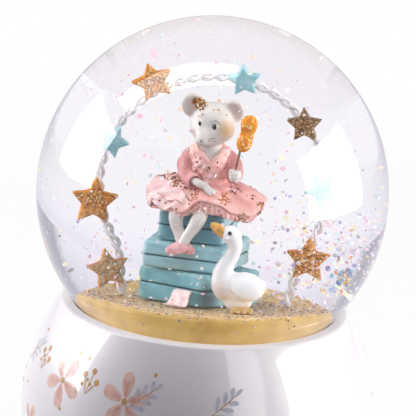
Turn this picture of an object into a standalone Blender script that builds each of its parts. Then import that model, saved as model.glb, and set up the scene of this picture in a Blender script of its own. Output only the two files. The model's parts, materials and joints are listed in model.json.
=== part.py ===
"""Musical snow globe: a glass ball of liquid on a white turned base.

Inside the ball a mouse in a pink dress sits on three stacked boxes under an arch of
twisted wire with stars, and a goose stands beside the boxes.  A wind-up musical
movement is screwed to the cover inside the hollow base, with its key underneath.

World units are metres, +Z up, and the origin is the centre of the footprint.
Every size in this script is in millimetres and MM turns it into metres.
"""
import math

import bmesh
import bpy
from mathutils import Matrix, Vector

MM = 0.001
GAP = 0.3
STEPS = 32

# Glass ball
BALL_Z = 86.0
BALL_R = 50.0
GLASS = 2.0
NECK_R = 33.0
NECK_END_Z = 41.0
NECK_BORE_R = NECK_R - GLASS

# Sand disc and stopper that close the neck
SAND_R = 26.8
SAND_TOP_Z = 61.7
SAND_LOW_Z = 49.6
SAND_EDGE_R = 1.9
STOPPER_R = NECK_BORE_R - 0.4
STOPPER_FLANGE_R = 33.6
STOPPER_LOW_Z = 38.3
STOPPER_HOLLOW = ((26.5, STOPPER_LOW_Z), (25.0, 45.0), (0, 45.0))

# Turned base
BASE_LOW_Z = 1.5
BASE_RIM_Z = 53.4
BASE_ARC_R = 62.0
BASE_ARC_AXIS = -11.0
BASE_ARC_Z = 20.0
BASE_EDGE_R = 2.5
BASE_LIP = 1.4
SEAT_R = 38.3
SEAT_LOW_Z = 47.6
RECESS_R = 34.0
RECESS_Z = 38.0
ROOF_Z = 35.8
MOUTH_R = 42.2
LEDGE_R = 38.0
LEDGE_Z = 12.3
CAVITY_WALL = ((LEDGE_R, 15.5), (44.5, 21.0), (45.0, 29.0), (40.0, ROOF_Z))
COVER_R = 41.8
COVER_Z = 10.0
COVER_T = 2.0
COVER_SCREW_R = 40.0
COVER_HOLE_R = 1.3
KEY_HOLE_R = 3.4
SCREW_HOLE_R = 1.5
FOOT_R = 1.7
FOOT_H = 1.2
FOOT_RING_R = 44.4

# Musical movement
KEY_X = -11.0
ARBOR_R = 2.5
ARBOR_Z = (5.3, 23.6)
KEY_HUB = ((0, 9.4), (3.1, 9.4), (4.2, 8.6), (4.2, 3.2), (3.2, 2.2), (0, 2.2))
KEY_BORE_Z = 4.9
KEY_WING_X = 9.0
KEY_WING_R = 5.0
KEY_WING_T = 2.0
KEY_WING_Z = 5.2
KEY_EYE_R = 2.4
BED_Z = COVER_Z + COVER_T + GAP
BED_T = 2.0
BED_X = (-26.0, 30.0)
BED_Y = (-23.0, 22.0)
DECK_Z = BED_Z + BED_T
MODULE = 0.5
CROWN_TEETH = 24
PINION_TEETH = 12
DRIVE_TEETH = 36
WORM_WHEEL_TEETH = 16
WORM_STARTS = 2
BARREL_R = 13.0
BARREL_TOP_Z = 20.2
CROWN_Z = 20.5
CROWN_T = 1.4
CROWN_TOOTH_H = 1.3
CROWN_FACE = 1.2
SHAFT_Z = 25.7
SHAFT_R = 1.0
DRUM_X = (4.6, 22.6)
DRUM_R = 6.2
DRIVE_X = 24.2
SHAFT_END_X = 28.4
SPINDLE_R = 0.8
SPINDLE_X = (13.6, 28.0)
PIVOT_GAP = 0.15
NEAR_BRACKET_X = (2.6, 4.0)
FAR_BRACKET_X = (26.0, 27.6)
PIN_H = 0.8
NOTES = 18
COMB_Z = SHAFT_Z - 0.4
COMB_T = 0.8
COMB_BACK_Y = 20.5
COMB_SCREW_Y = 17.8
COMB_SCREW_HOLE_R = 1.2
COMB_ROOT_Y = 15.0
MOVEMENT_SCREWS = ((-22.0, 17.0), (-22.0, -17.0), (26.0, 17.0))
GOVERNOR_Y = -0.5 * MODULE * (DRIVE_TEETH + PINION_TEETH)
WORM_PITCH_R = 1.6
WORM_X = 20.6
WORM_Y = GOVERNOR_Y - 0.5 * MODULE * WORM_WHEEL_TEETH - WORM_PITCH_R
WORM_LEAD = math.pi * MODULE * WORM_STARTS
WORM_L = 6.6
WORM_SHAFT_R = 0.7
WORM_SHAFT_Z = (-10.6, 6.2)
FAN_SIZE = (8.0, 0.7, 4.0)
FAN_Z = 16.4

# Wire arch with stars
ARCH_R = 23.3
ARCH_Y = 8.0
ARCH_FOOT_X = 16.2
ARCH_TURN = math.radians(-38.0)
WIRE_R = 0.45
WIRE_LAY_R = 0.65
WIRE_LAY = 6.0
STAR_T = 2.0

# Figures: places are from the middle of the ball, x right, y back, z up
MOUSE_WAIST = (-1.3, -0.8, 3.0)
WAIST_R = (1.9, 1.7)
HEM_R = (12.8, 9.6)
SKIRT_T = 0.7
GOOSE = (6.6, -11.0, -19.6)

# Height of the skirt's hem and of the frill under it, by degrees round the waist
HEM = ((0, -0.6), (25, -0.2), (60, 0.2), (90, 0.8), (120, 1.5), (148, 1.6), (170, -0.6), (190, -2.6),
       (205, -1.5), (219, -2.4), (231, -1.4), (244, -2.6), (264, 0.6), (282, 0.0), (302, -2.2), (322, -2.7),
       (342, -1.6))
FRILL = ((0, -2.3), (25, -1.5), (60, -1.1), (90, -0.5), (120, 0.1), (148, 0.2), (170, -1.9), (190, -3.5),
         (215, -3.0), (230, -3.1), (243, -3.7), (264, -2.4), (282, -2.7), (302, -3.9), (322, -4.5),
         (342, -3.4))

PARTS = None
TOOLS = None


def start_scene():
    """Empty the scene and make the two collections."""
    global PARTS, TOOLS
    for obj in list(bpy.data.objects):
        bpy.data.objects.remove(obj, do_unlink=True)
    PARTS = bpy.data.collections.new("snow_globe")
    TOOLS = bpy.data.collections.new("cutters")
    for collection in (PARTS, TOOLS):
        bpy.context.scene.collection.children.link(collection)


def finish(name, colour, roughness, metallic=0.0, transmission=0.0):
    """A Principled material."""
    made = bpy.data.materials.new(name)
    made.use_nodes = True
    shader = made.node_tree.nodes["Principled BSDF"]
    shader.inputs["Base Color"].default_value = (*colour, 1.0)
    shader.inputs["Roughness"].default_value = roughness
    shader.inputs["Metallic"].default_value = metallic
    shader.inputs["Transmission Weight"].default_value = transmission
    return made


def in_ball(place):
    """A place given from the middle of the ball, in the part's own frame."""
    return (place[0], place[1], place[2] + BALL_Z)


def metres(place):
    return Vector(place) * MM


def add(name, data, material=None, at=(0, 0, 0), turn=(0, 0, 0)):
    """Put new object data in the scene as a part; turn is in degrees."""
    obj = bpy.data.objects.new(name, data)
    obj.location = metres(at)
    obj.rotation_euler = [math.radians(angle) for angle in turn]
    if material:
        data.materials.append(material)
    PARTS.objects.link(obj)
    return obj


def as_tool(obj):
    """Make an object a cutter or an operand, which is not a part."""
    PARTS.objects.unlink(obj)
    TOOLS.objects.link(obj)
    obj.hide_render = True
    obj.display_type = "WIRE"
    return obj


def from_bmesh(name, bm, material=None, at=(0, 0, 0), turn=(0, 0, 0)):
    mesh = bpy.data.meshes.new(name)
    bmesh.ops.recalc_face_normals(bm, faces=bm.faces)
    bm.to_mesh(mesh)
    bm.free()
    mesh.shade_smooth()
    mesh.set_sharp_from_angle(angle=math.radians(35))
    return add(name, mesh, material, at, turn)


def combine(target, operand, operation):
    """Boolean modifier on target; the operand is kept as a tool."""
    modifier = target.modifiers.new(operation.lower(), "BOOLEAN")
    modifier.operation = operation
    modifier.solver = "EXACT"
    modifier.object = as_tool(operand)
    return target


def cut(target, operand):
    return combine(target, operand, "DIFFERENCE")


def fuse(target, operand):
    return combine(target, operand, "UNION")


def evaluated_mesh(obj):
    """A new mesh of the object as its modifiers leave it, with its caps welded."""
    bpy.context.view_layer.update()
    graph = bpy.context.evaluated_depsgraph_get()
    mesh = bpy.data.meshes.new_from_object(obj.evaluated_get(graph))
    bm = bmesh.new()
    bm.from_mesh(mesh)
    bmesh.ops.remove_doubles(bm, verts=bm.verts, dist=1e-6)
    bm.to_mesh(mesh)
    bm.free()
    return mesh


def as_mesh(curve_object):
    """Replace a curve object with a mesh object of the same name and place."""
    mesh = evaluated_mesh(curve_object)
    mesh.shade_smooth()
    name = curve_object.name
    made = bpy.data.objects.new(name, mesh)
    made.matrix_world = curve_object.matrix_world.copy()
    bpy.data.objects.remove(curve_object, do_unlink=True)
    made.name = name
    PARTS.objects.link(made)
    return made


def clear_of(obj, *neighbours, gap=GAP):
    """Cut an object back from its neighbours, which keep a gap all round."""
    for neighbour in neighbours:
        mesh = evaluated_mesh(neighbour)
        mesh.transform(neighbour.matrix_world)
        bm = bmesh.new()
        bm.from_mesh(mesh)
        bm.normal_update()
        moves = [(vert, vert.normal.copy()) for vert in bm.verts]
        for vert, normal in moves:
            vert.co += normal * gap * MM
        bm.to_mesh(mesh)
        bm.free()
        cut(obj, add(f"{obj.name}_clear_{neighbour.name}", mesh))
    return obj


def turned(name, profile, material=None, at=(0, 0, 0), turn=(0, 0, 0), steps=STEPS):
    """Turn a profile of (radius, height) points, outer side first, top to bottom."""
    on_axis = profile[0][0] == 0 and profile[-1][0] == 0
    count = len(profile)
    edges = [(i, (i + 1) % count) for i in range(count if not on_axis else count - 1)]
    mesh = bpy.data.meshes.new(name)
    mesh.from_pydata([(r * MM, 0, z * MM) for r, z in profile], edges, [])
    obj = add(name, mesh, material, at, turn)
    screw = obj.modifiers.new("turn", "SCREW")
    screw.steps = steps
    screw.render_steps = steps
    screw.use_merge_vertices = True
    screw.merge_threshold = 1e-6
    return obj


def arc(centre, radius, start, end, count):
    """Points (radius, height) on an arc; angles in degrees from the outward direction."""
    points = []
    for i in range(count + 1):
        angle = math.radians(start + (end - start) * i / count)
        points.append((centre[0] + radius * math.cos(angle), centre[1] + radius * math.sin(angle)))
    return points


def cylinder(name, radius, low, high, material=None, at=(0, 0, 0), turn=(0, 0, 0), steps=20):
    profile = [(0, high), (radius, high), (radius, low), (0, low)]
    return turned(name, profile, material, at, turn, steps)


def block(name, low, high, material=None, round_off=0.0):
    """A box between two corners, with its edges bevelled."""
    bm = bmesh.new()
    bmesh.ops.create_cube(bm, size=1.0)
    size = Vector(high) - Vector(low)
    bmesh.ops.scale(bm, vec=size * MM, verts=bm.verts)
    obj = from_bmesh(name, bm, material, at=(Vector(low) + Vector(high)) / 2)
    if round_off:
        bevel = obj.modifiers.new("round", "BEVEL")
        bevel.width = round_off * MM
        bevel.segments = 2
    return obj


def plate(name, outlines, thickness, material=None, at=(0, 0, 0), turn=(0, 0, 0)):
    """A flat plate: the first outline is its edge and the others are holes."""
    curve = bpy.data.curves.new(name, "CURVE")
    curve.dimensions = "2D"
    curve.fill_mode = "BOTH"
    curve.extrude = thickness * MM / 2
    for outline in outlines:
        spline = curve.splines.new("POLY")
        spline.points.add(len(outline) - 1)
        spline.use_cyclic_u = True
        for point, (x, y) in zip(spline.points, outline):
            point.co = (x * MM, y * MM, 0, 1)
    return add(name, curve, material, at, turn)


def circle(radius, centre=(0, 0), count=20):
    points = []
    for i in range(count):
        angle = 2 * math.pi * i / count
        points.append((centre[0] + radius * math.cos(angle), centre[1] + radius * math.sin(angle)))
    return points


def rounded_rectangle(low, high, radius, count=4):
    """Outline of a rectangle with round corners."""
    points = []
    corners = ((high[0] - radius, high[1] - radius, 0), (low[0] + radius, high[1] - radius, 90),
               (low[0] + radius, low[1] + radius, 180), (high[0] - radius, low[1] + radius, 270))
    for x, y, start in corners:
        points += arc((x, y), radius, start, start + 90, count)
    return points


def tube(name, points, radius, material=None, taper=None, sides=2):
    """A round bar along points; taper scales the radius at each point."""
    curve = bpy.data.curves.new(name, "CURVE")
    curve.dimensions = "3D"
    curve.bevel_depth = radius * MM
    curve.bevel_resolution = sides
    curve.use_fill_caps = True
    spline = curve.splines.new("POLY")
    spline.points.add(len(points) - 1)
    scales = taper or [1.0] * len(points)
    for point, place, scale in zip(spline.points, points, scales):
        point.co = (*metres(place), 1)
        point.radius = scale
    return add(name, curve, material)


def smooth_path(points, per_span=4):
    """Points on a smooth curve through the given ones, of any dimension."""
    places = [Vector(point) for point in points]
    places = [2 * places[0] - places[1], *places, 2 * places[-1] - places[-2]]
    route = []
    for a, b, c, d in zip(places, places[1:], places[2:], places[3:]):
        for i in range(per_span):
            t = i / per_span
            route.append(0.5 * (2 * b + (c - a) * t + (2 * a - 5 * b + 4 * c - d) * t ** 2
                                + (3 * b - a - 3 * c + d) * t ** 3))
    return route + [places[-2]]


def limb(name, stations, material=None, sides=2):
    """A tapered round form through stations of (x, y, z, radius), from the ball's middle."""
    route = smooth_path(stations, 2)
    points = [in_ball(station[:3]) for station in route]
    return as_mesh(tube(name, points, 1.0, material, [station[3] for station in route], sides))


def egg(name, radii, at, material=None, turn=(0, 0, 0), rings=10):
    """An ellipsoid with the given radii."""
    bm = bmesh.new()
    bmesh.ops.create_uvsphere(bm, u_segments=rings * 2 - 4, v_segments=rings, radius=1.0)
    bmesh.ops.scale(bm, vec=metres(radii), verts=bm.verts)
    return from_bmesh(name, bm, material, at, turn)


def make_ball():
    """Blown glass ball with an open neck, its stopper and the sand disc on the stopper."""
    inner_r = BALL_R - GLASS
    outer_low = math.degrees(-math.acos(NECK_R / BALL_R))
    inner_low = math.degrees(-math.acos(NECK_BORE_R / inner_r))
    outside = arc((0, 0), BALL_R, 90, outer_low, 9)
    inside = arc((0, 0), inner_r, inner_low, 90, 9)
    outside[0] = (0, BALL_R)
    inside[-1] = (0, inner_r)
    neck_end = NECK_END_Z - BALL_Z
    profile = outside + [(NECK_R, neck_end), (NECK_BORE_R, neck_end)] + inside
    turned("glass_globe", profile, finish("glass", (0.95, 0.97, 1.0), 0.02, 0, 1.0), (0, 0, BALL_Z))

    flange_z = NECK_END_Z - 0.4
    plug_top = SAND_LOW_Z - GAP
    turned("globe_stopper",
           [(0, plug_top), (STOPPER_R, plug_top), (STOPPER_R, flange_z),
            (STOPPER_FLANGE_R, flange_z), (STOPPER_FLANGE_R, STOPPER_LOW_Z), *STOPPER_HOLLOW],
           finish("stopper_rubber", (0.75, 0.73, 0.70), 0.7), steps=24)

    edge = arc((SAND_R - SAND_EDGE_R, SAND_TOP_Z - SAND_EDGE_R), SAND_EDGE_R, 90, 0, 3)
    turned("sand_disc", [(0, SAND_TOP_Z), *edge, (SAND_R, SAND_LOW_Z), (0, SAND_LOW_Z)],
           finish("sand", (0.66, 0.50, 0.20), 0.6))


def base_radius(z):
    """Outer radius of the base at a height."""
    return BASE_ARC_AXIS + math.sqrt(BASE_ARC_R ** 2 - (z - BASE_ARC_Z) ** 2)


def base_profile():
    """Section of the base: belly, seat for the ball, roof and the ledge for the cover."""
    low_z = BASE_LOW_Z + BASE_EDGE_R
    top_z = BASE_RIM_Z - BASE_LIP
    heights = [top_z + (low_z - top_z) * i / 7 for i in range(8)]
    belly = [(base_radius(z), z) for z in heights]
    edge_r = base_radius(low_z) - BASE_EDGE_R
    foot_edge = arc((edge_r, low_z), BASE_EDGE_R, -40, -90, 1)
    rim_r = base_radius(BASE_RIM_Z)
    lip = [(SEAT_R, BASE_RIM_Z), (rim_r - BASE_LIP, BASE_RIM_Z)]
    cavity = [(MOUTH_R, BASE_LOW_Z), (MOUTH_R, LEDGE_Z), (LEDGE_R, LEDGE_Z), *CAVITY_WALL, (0, ROOF_Z)]
    recess = [(0, RECESS_Z), (RECESS_R, RECESS_Z), (RECESS_R, SEAT_LOW_Z)]
    return recess + lip + belly + foot_edge + cavity


def make_base():
    """White base with its bottom cover, screws and feet."""
    white = finish("white_glaze", (0.90, 0.88, 0.90), 0.15)
    steel = finish("screw_steel", (0.62, 0.62, 0.63), 0.35, 1.0)
    shell = turned("base_shell", base_profile(), white)
    bores = [(KEY_X, 0, KEY_HOLE_R)] + [(x, y, SCREW_HOLE_R) for x, y in MOVEMENT_SCREWS]
    angles = [math.radians(angle) for angle in (60, 180, 300)]
    screw_places = [(COVER_SCREW_R * math.cos(a), COVER_SCREW_R * math.sin(a)) for a in angles]
    holes = [circle(r, (x, y), 10) for x, y, r in bores]
    holes += [circle(COVER_HOLE_R, place, 8) for place in screw_places]
    plate("bottom_cover", [circle(COVER_R, count=STEPS), *holes], COVER_T,
          finish("cover_board", (0.80, 0.79, 0.78), 0.6), (0, 0, COVER_Z + COVER_T / 2))
    shank_r = 0.9
    pilot_r = shank_r + GAP
    for number, (x, y) in enumerate(screw_places, 1):
        cut(shell, cylinder(f"pilot_{number}", pilot_r, LEDGE_Z - 1, LEDGE_Z + 2.6, at=(x, y, 0), steps=8))
        screw(f"cover_screw_{number}", (x, y), COVER_Z - GAP, 4.6, shank_r, 1.7, steel)
    for number in range(4):
        angle = math.radians(45 + 90 * number)
        place = (FOOT_RING_R * math.cos(angle), FOOT_RING_R * math.sin(angle), 0)
        turned(f"rubber_foot_{number + 1}",
               [(0, FOOT_H), (FOOT_R, FOOT_H), (FOOT_R - 0.4, 0), (0, 0)],
               finish("foot_rubber", (0.55, 0.55, 0.56), 0.8), place, steps=10)


def screw(name, place, face_z, length, shank_r, head_r, material, up=1):
    """A pan-head screw whose head lies under face_z (up 1) or over it (up -1)."""
    head = 1.1
    shank = [(0, length), (shank_r, length - 0.6), (shank_r, 0)]
    profile = shank + [(head_r, 0), (head_r * 0.7, -head), (0, -head)]
    turn = (0, 0, 0) if up > 0 else (180, 0, 0)
    return turned(name, profile, material, (*place, face_z), turn, steps=8)


def gear_outline(teeth, module=MODULE):
    """Outline of a spur gear with straight flanks and backlash."""
    pitch_r = module * teeth / 2
    tip_r = pitch_r + 0.84 * module
    root_r = pitch_r - 1.24 * module
    step = 2 * math.pi / teeth
    outline = []
    for tooth in range(teeth):
        for radius, share in ((root_r, -0.29), (tip_r, -0.10), (tip_r, 0.10), (root_r, 0.29)):
            angle = (tooth + share) * step
            outline.append((radius * math.cos(angle), radius * math.sin(angle)))
    return outline


def gear(name, teeth, width, material=None, at=(0, 0, 0), turn=(0, 0, 0), helix=0.0, spin=0.0):
    """A solid gear; helix is its twist over the width and spin its place in mesh, in degrees."""
    bm = bmesh.new()
    rings = []
    for side in (-0.5, 0.5):
        matrix = Matrix.Rotation(math.radians(spin + helix * side), 4, "Z")
        verts = [bm.verts.new(matrix @ Vector((x, y, side * width)) * MM)
                 for x, y in gear_outline(teeth)]
        bm.faces.new(verts)
        rings.append(verts)
    count = len(rings[0])
    for i in range(count):
        j = (i + 1) % count
        bm.faces.new((rings[0][i], rings[0][j], rings[1][j], rings[1][i]))
    return from_bmesh(name, bm, material, at, turn)


def along_x(name, profile, material, y, z):
    """A turned piece whose axis lies along X; profile heights are x places, high to low."""
    return turned(name, profile, material, (0, y, z), (0, 90, 0), steps=10)


def make_key(metal):
    """Winding arbor and the butterfly key on its lower end."""
    low, high = ARBOR_Z
    chamfer = 0.5
    arbor = [(0, high), (ARBOR_R, high), (ARBOR_R, low + chamfer), (ARBOR_R - chamfer, low), (0, low)]
    turned("winding_arbor", arbor, metal, (KEY_X, 0, 0), steps=12)
    key = turned("winding_key", KEY_HUB, metal, (KEY_X, 0, 0), steps=14)
    wing = arc((KEY_WING_X, 0), KEY_WING_R, -125, 125, 6) + arc((-KEY_WING_X, 0), KEY_WING_R, 55, 305, 6)
    eyes = [circle(KEY_EYE_R, (side * (KEY_WING_X + 0.5), 0), 8) for side in (1, -1)]
    wings = as_mesh(plate("key_wings", [wing, *eyes], KEY_WING_T, metal, (KEY_X, 0, KEY_WING_Z), (0, 0, 25)))
    fuse(key, wings)
    bore_top = KEY_HUB[0][1] + 1
    cut(key, cylinder("key_bore", ARBOR_R + GAP, KEY_BORE_Z, bore_top, at=(KEY_X, 0, 0), steps=12))


def make_spring(brass, steel):
    """Spring barrel on the bedplate, the mainspring in it and the crown wheel over it."""
    wall = 1.0
    floor = DECK_Z + GAP
    bore_r = ARBOR_R + GAP
    turned("spring_barrel",
           [(BARREL_R - wall, BARREL_TOP_Z), (BARREL_R, BARREL_TOP_Z), (BARREL_R, floor), (bore_r, floor),
            (bore_r, floor + wall), (BARREL_R - wall, floor + wall)],
           brass, (KEY_X, 0, 0), steps=24)
    turns = 4
    coil_r = (3.3, 11.1)
    count = turns * 10
    points = []
    for i in range(count + 1):
        share = i / count
        points.append((coil_r[0] + (coil_r[1] - coil_r[0]) * share, 2 * math.pi * turns * share))
    half = 0.25
    outer = [((r + half) * math.cos(a), (r + half) * math.sin(a)) for r, a in points]
    inner = [((r - half) * math.cos(a), (r - half) * math.sin(a)) for r, a in reversed(points)]
    height = BARREL_TOP_Z - floor - wall - 1.0
    plate("mainspring", [outer + inner], height, steel, (KEY_X, 0, floor + wall + 0.5 + height / 2))

    pitch_r = MODULE * CROWN_TEETH / 2
    rim_r = pitch_r + 1.4
    top = CROWN_Z + CROWN_T
    wheel = turned("crown_wheel", [(0, top), (rim_r, top), (rim_r, CROWN_Z), (0, CROWN_Z)],
                   brass, (KEY_X, 0, 0), steps=24)
    bm = bmesh.new()
    step = 2 * math.pi / CROWN_TEETH
    for tooth in range(CROWN_TEETH):
        made = bmesh.ops.create_cube(bm, size=1.0)["verts"]
        for vert in made:
            foot = vert.co.z < 0
            radius = pitch_r + vert.co.x * CROWN_FACE
            across = (0.46 if foot else 0.18) * step * radius
            height = top + (-0.4 if foot else CROWN_TOOTH_H)
            vert.co = metres((radius, vert.co.y * across, height))
        place = Matrix.Rotation((tooth + 0.5) * step, 3, "Z")
        bmesh.ops.rotate(bm, cent=(0, 0, 0), matrix=place, verts=made)
    fuse(wheel, from_bmesh("crown_teeth", bm, at=(KEY_X, 0, 0)))
    cut(wheel, cylinder("crown_bore", ARBOR_R + 0.2, CROWN_Z - 1, top + 2, at=(KEY_X, 0, 0), steps=12))


def make_cylinder(brass):
    """Pinned cylinder with its shaft and crown pinion, and the drive gear on its far end."""
    low, high = DRUM_X
    pinion_x = KEY_X + MODULE * CROWN_TEETH / 2
    near_x = pinion_x - 1.4
    profile = [(0, SHAFT_END_X), (SHAFT_R, SHAFT_END_X), (SHAFT_R, high), (DRUM_R, high), (DRUM_R, low),
               (SHAFT_R, low), (SHAFT_R, near_x), (0, near_x)]
    drum = turned("pinned_cylinder", profile, brass, (0, 0, SHAFT_Z), (0, 90, 0), steps=24)
    fuse(drum, gear("crown_pinion", PINION_TEETH, 2.4, at=(pinion_x, 0, SHAFT_Z), turn=(0, 90, 0)))
    bm = bmesh.new()
    pitch = (high - low) / NOTES
    for note in range(NOTES):
        for beat in range(2 if note % 3 == 0 else 1):
            made = bmesh.ops.create_cube(bm, size=0.5 * MM)["verts"]
            place = (DRUM_R + PIN_H - 0.25, 0, low + (note + 0.5) * pitch)
            bmesh.ops.translate(bm, vec=metres(place), verts=made)
            for vert in made:
                if vert.co.x < (DRUM_R + PIN_H - 0.3) * MM:
                    vert.co.x = (DRUM_R - 0.6) * MM
            angle = 2 * math.pi * ((note * 7 + beat * (9 + note)) % 24) / 24 + math.pi / 24
            bmesh.ops.rotate(bm, cent=(0, 0, 0), matrix=Matrix.Rotation(angle, 3, "Z"), verts=made)
    fuse(drum, from_bmesh("cylinder_pins", bm, at=(0, 0, SHAFT_Z), turn=(0, 90, 0)))
    at = (DRIVE_X, 0, SHAFT_Z)
    wheel = gear("drive_gear", DRIVE_TEETH, 2.0, brass, at, (0, 90, 0))
    cut(wheel, cylinder("drive_bore", SHAFT_R + PIVOT_GAP, -3, 3, at=at, turn=(0, 90, 0), steps=12))


def make_governor(brass):
    """Governor wheel, driven by the drive gear, that turns the worm."""
    near, far = SPINDLE_X
    profile = [(0, far), (SPINDLE_R, far), (SPINDLE_R, near), (0, near)]
    wheel = along_x("governor_wheel", profile, brass, GOVERNOR_Y, SHAFT_Z)
    half_tooth = 180 / PINION_TEETH
    fuse(wheel, gear("governor_pinion", PINION_TEETH, 2.4, at=(DRIVE_X, GOVERNOR_Y, SHAFT_Z),
                     turn=(0, 90, 0), spin=half_tooth))
    width = 2.0
    helix = math.degrees(WORM_LEAD / (2 * math.pi * WORM_PITCH_R) * width / (0.5 * MODULE * WORM_WHEEL_TEETH))
    fuse(wheel, gear("worm_wheel", WORM_WHEEL_TEETH, width, at=(WORM_X, GOVERNOR_Y, SHAFT_Z),
                     turn=(0, 90, 0), helix=helix))


def make_worm(steel):
    """Worm on its upright shaft, with the flat fan that brakes the movement in the air."""
    sides = 10
    rows = 22
    root_r = 0.95
    thread_h = 1.05
    bm = bmesh.new()
    rings = []
    for row in range(rows + 1):
        z = WORM_L * (row / rows - 0.5)
        ring = []
        for side in range(sides):
            share = side / sides
            phase = ((z - WORM_LEAD * share) / (math.pi * MODULE) + 0.5) % 1.0
            rise = 0.0 if row in (0, rows) else min(1.0, max(0.0, 1.9 - 6.0 * abs(phase - 0.5)))
            radius = root_r + rise * thread_h
            angle = 2 * math.pi * share
            ring.append(bm.verts.new(metres((radius * math.cos(angle), radius * math.sin(angle), z))))
        rings.append(ring)
    for low, high in zip(rings, rings[1:]):
        for i in range(sides):
            j = (i + 1) % sides
            bm.faces.new((low[i], low[j], high[j], high[i]))
    bm.faces.new(rings[0])
    bm.faces.new(rings[-1])
    place = (WORM_X, WORM_Y, SHAFT_Z)
    worm = from_bmesh("governor_worm", bm, steel, place)
    fuse(worm, cylinder("worm_shaft", WORM_SHAFT_R, WORM_SHAFT_Z[0], WORM_SHAFT_Z[1], at=place, steps=10))
    low = (WORM_X - FAN_SIZE[0] / 2, WORM_Y - FAN_SIZE[1] / 2, FAN_Z)
    fuse(worm, block("worm_fan", low, [edge + size for edge, size in zip(low, FAN_SIZE)]))


def make_brackets(metal):
    """Cast bedplate with its comb block, and the brackets that carry the shafts."""
    arbor_hole = circle(ARBOR_R + 0.4, (KEY_X, 0), 16)
    holes = [arbor_hole] + [circle(SCREW_HOLE_R, place, 10) for place in MOVEMENT_SCREWS]
    outline = rounded_rectangle((BED_X[0], BED_Y[0]), (BED_X[1], BED_Y[1]), 5.0)
    bed = as_mesh(plate("bedplate", [outline, *holes], BED_T, metal, (0, 0, BED_Z + BED_T / 2)))
    low, high = DRUM_X
    fuse(bed, block("comb_block", (low - 1.0, COMB_ROOT_Y + 0.5, DECK_Z - 0.5),
                    (high + 1.0, COMB_BACK_Y, COMB_Z - GAP)))
    shaft_bore = (0, SHAFT_R + PIVOT_GAP)
    spindle_bore = (GOVERNOR_Y, SPINDLE_R + PIVOT_GAP)
    upright("near_bracket", (-5.0, 5.0), NEAR_BRACKET_X, 29.0, [shaft_bore], metal)
    upright("far_bracket", (-15.5, 5.0), FAR_BRACKET_X, 29.5, [shaft_bore, spindle_bore], metal)

    web = 14.2
    reach = WORM_X + 2.0
    floor = DECK_Z + GAP
    top = 33.2
    c_shape = [(web, floor), (reach, floor), (reach, floor + 1.2), (web + 1.5, floor + 1.2),
               (web + 1.5, top - 1.4), (reach, top - 1.4), (reach, top), (web, top)]
    depth = 13.0
    middle = (WORM_Y + GOVERNOR_Y) / 2
    frame = as_mesh(plate("governor_bracket", [c_shape], depth, metal, (0, middle, 0), (90, 0, 0)))
    worm_bore = WORM_SHAFT_R + PIVOT_GAP
    cut(frame, cylinder("worm_pivot", worm_bore, floor - 1, top + 1, at=(WORM_X, WORM_Y, 0), steps=10))
    cut(frame, cylinder("wheel_pivot", spindle_bore[1], web - 2, web + 4, at=(0, GOVERNOR_Y, SHAFT_Z),
                        turn=(0, 90, 0), steps=10))
    return bed


def upright(name, across, faces, top, bores, metal):
    """A plate that stands on the bedplate across X, with a round-cornered top and bores."""
    near, far = faces
    outline = rounded_rectangle((across[0], DECK_Z + GAP), (across[1], top), 2.0)
    holes = [circle(radius, (y, SHAFT_Z), 12) for y, radius in bores]
    return plate(name, [outline, *holes], far - near, metal, ((near + far) / 2, 0, 0), (90, 0, 90))


def make_comb(bed, steel):
    """Steel comb with one tooth to a note, screwed to the comb block."""
    low, high = DRUM_X
    pitch = (high - low) / NOTES
    tip = DRUM_R + PIN_H + 0.35
    outline = [(low - 0.6, COMB_BACK_Y), (low - 0.6, COMB_ROOT_Y)]
    for note in range(NOTES):
        left = low + note * pitch + 0.15
        right = left + pitch - 0.3
        outline += [(left, COMB_ROOT_Y), (left, tip), (right, tip), (right, COMB_ROOT_Y)]
    outline += [(high + 0.6, COMB_ROOT_Y), (high + 0.6, COMB_BACK_Y)]
    places = ((low + 4.0, COMB_SCREW_Y), (high - 4.0, COMB_SCREW_Y))
    holes = [circle(COMB_SCREW_HOLE_R, place, 10) for place in places]
    plate("comb", [outline, *holes], COMB_T, steel, (0, 0, COMB_Z + COMB_T / 2))
    for number, place in enumerate(places, 1):
        pilot = f"comb_pilot_{number}"
        cut(bed, cylinder(pilot, COMB_SCREW_HOLE_R, COMB_Z - 5.5, COMB_Z, at=(*place, 0), steps=10))
        screw(f"comb_screw_{number}", place, COMB_Z + COMB_T + GAP, 4.8, 0.9, 1.9, steel, up=-1)


def make_movement():
    """The whole wind-up movement on the bottom cover."""
    brass = finish("brass", (0.72, 0.55, 0.26), 0.3, 1.0)
    steel = finish("spring_steel", (0.58, 0.59, 0.61), 0.3, 1.0)
    cast = finish("cast_zinc", (0.55, 0.55, 0.56), 0.5, 1.0)
    make_key(finish("key_metal", (0.70, 0.60, 0.38), 0.3, 1.0))
    make_spring(brass, steel)
    make_cylinder(brass)
    make_governor(brass)
    make_worm(steel)
    bed = make_brackets(cast)
    make_comb(bed, steel)
    for number, place in enumerate(MOVEMENT_SCREWS, 1):
        screw(f"movement_screw_{number}", place, COVER_Z - GAP, 4.6, 1.1, 2.2, steel)


def gift_box(name, centre, side, angle, low, high, seam, material):
    """A square box whose lid, over the seam, stands proud of its body."""
    half = side / 2
    inset = 0.35
    profile = [(0, high), (half, high), (half, seam), (half - inset, seam), (half - inset, low), (0, low)]
    corners = [(r * math.sqrt(2), z) for r, z in profile]
    box = turned(name, corners, material, (*centre, BALL_Z), (0, 0, 45 - angle), steps=4)
    bevel = box.modifiers.new("round", "BEVEL")
    bevel.width = 0.3 * MM
    bevel.segments = 1
    return box


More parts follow.
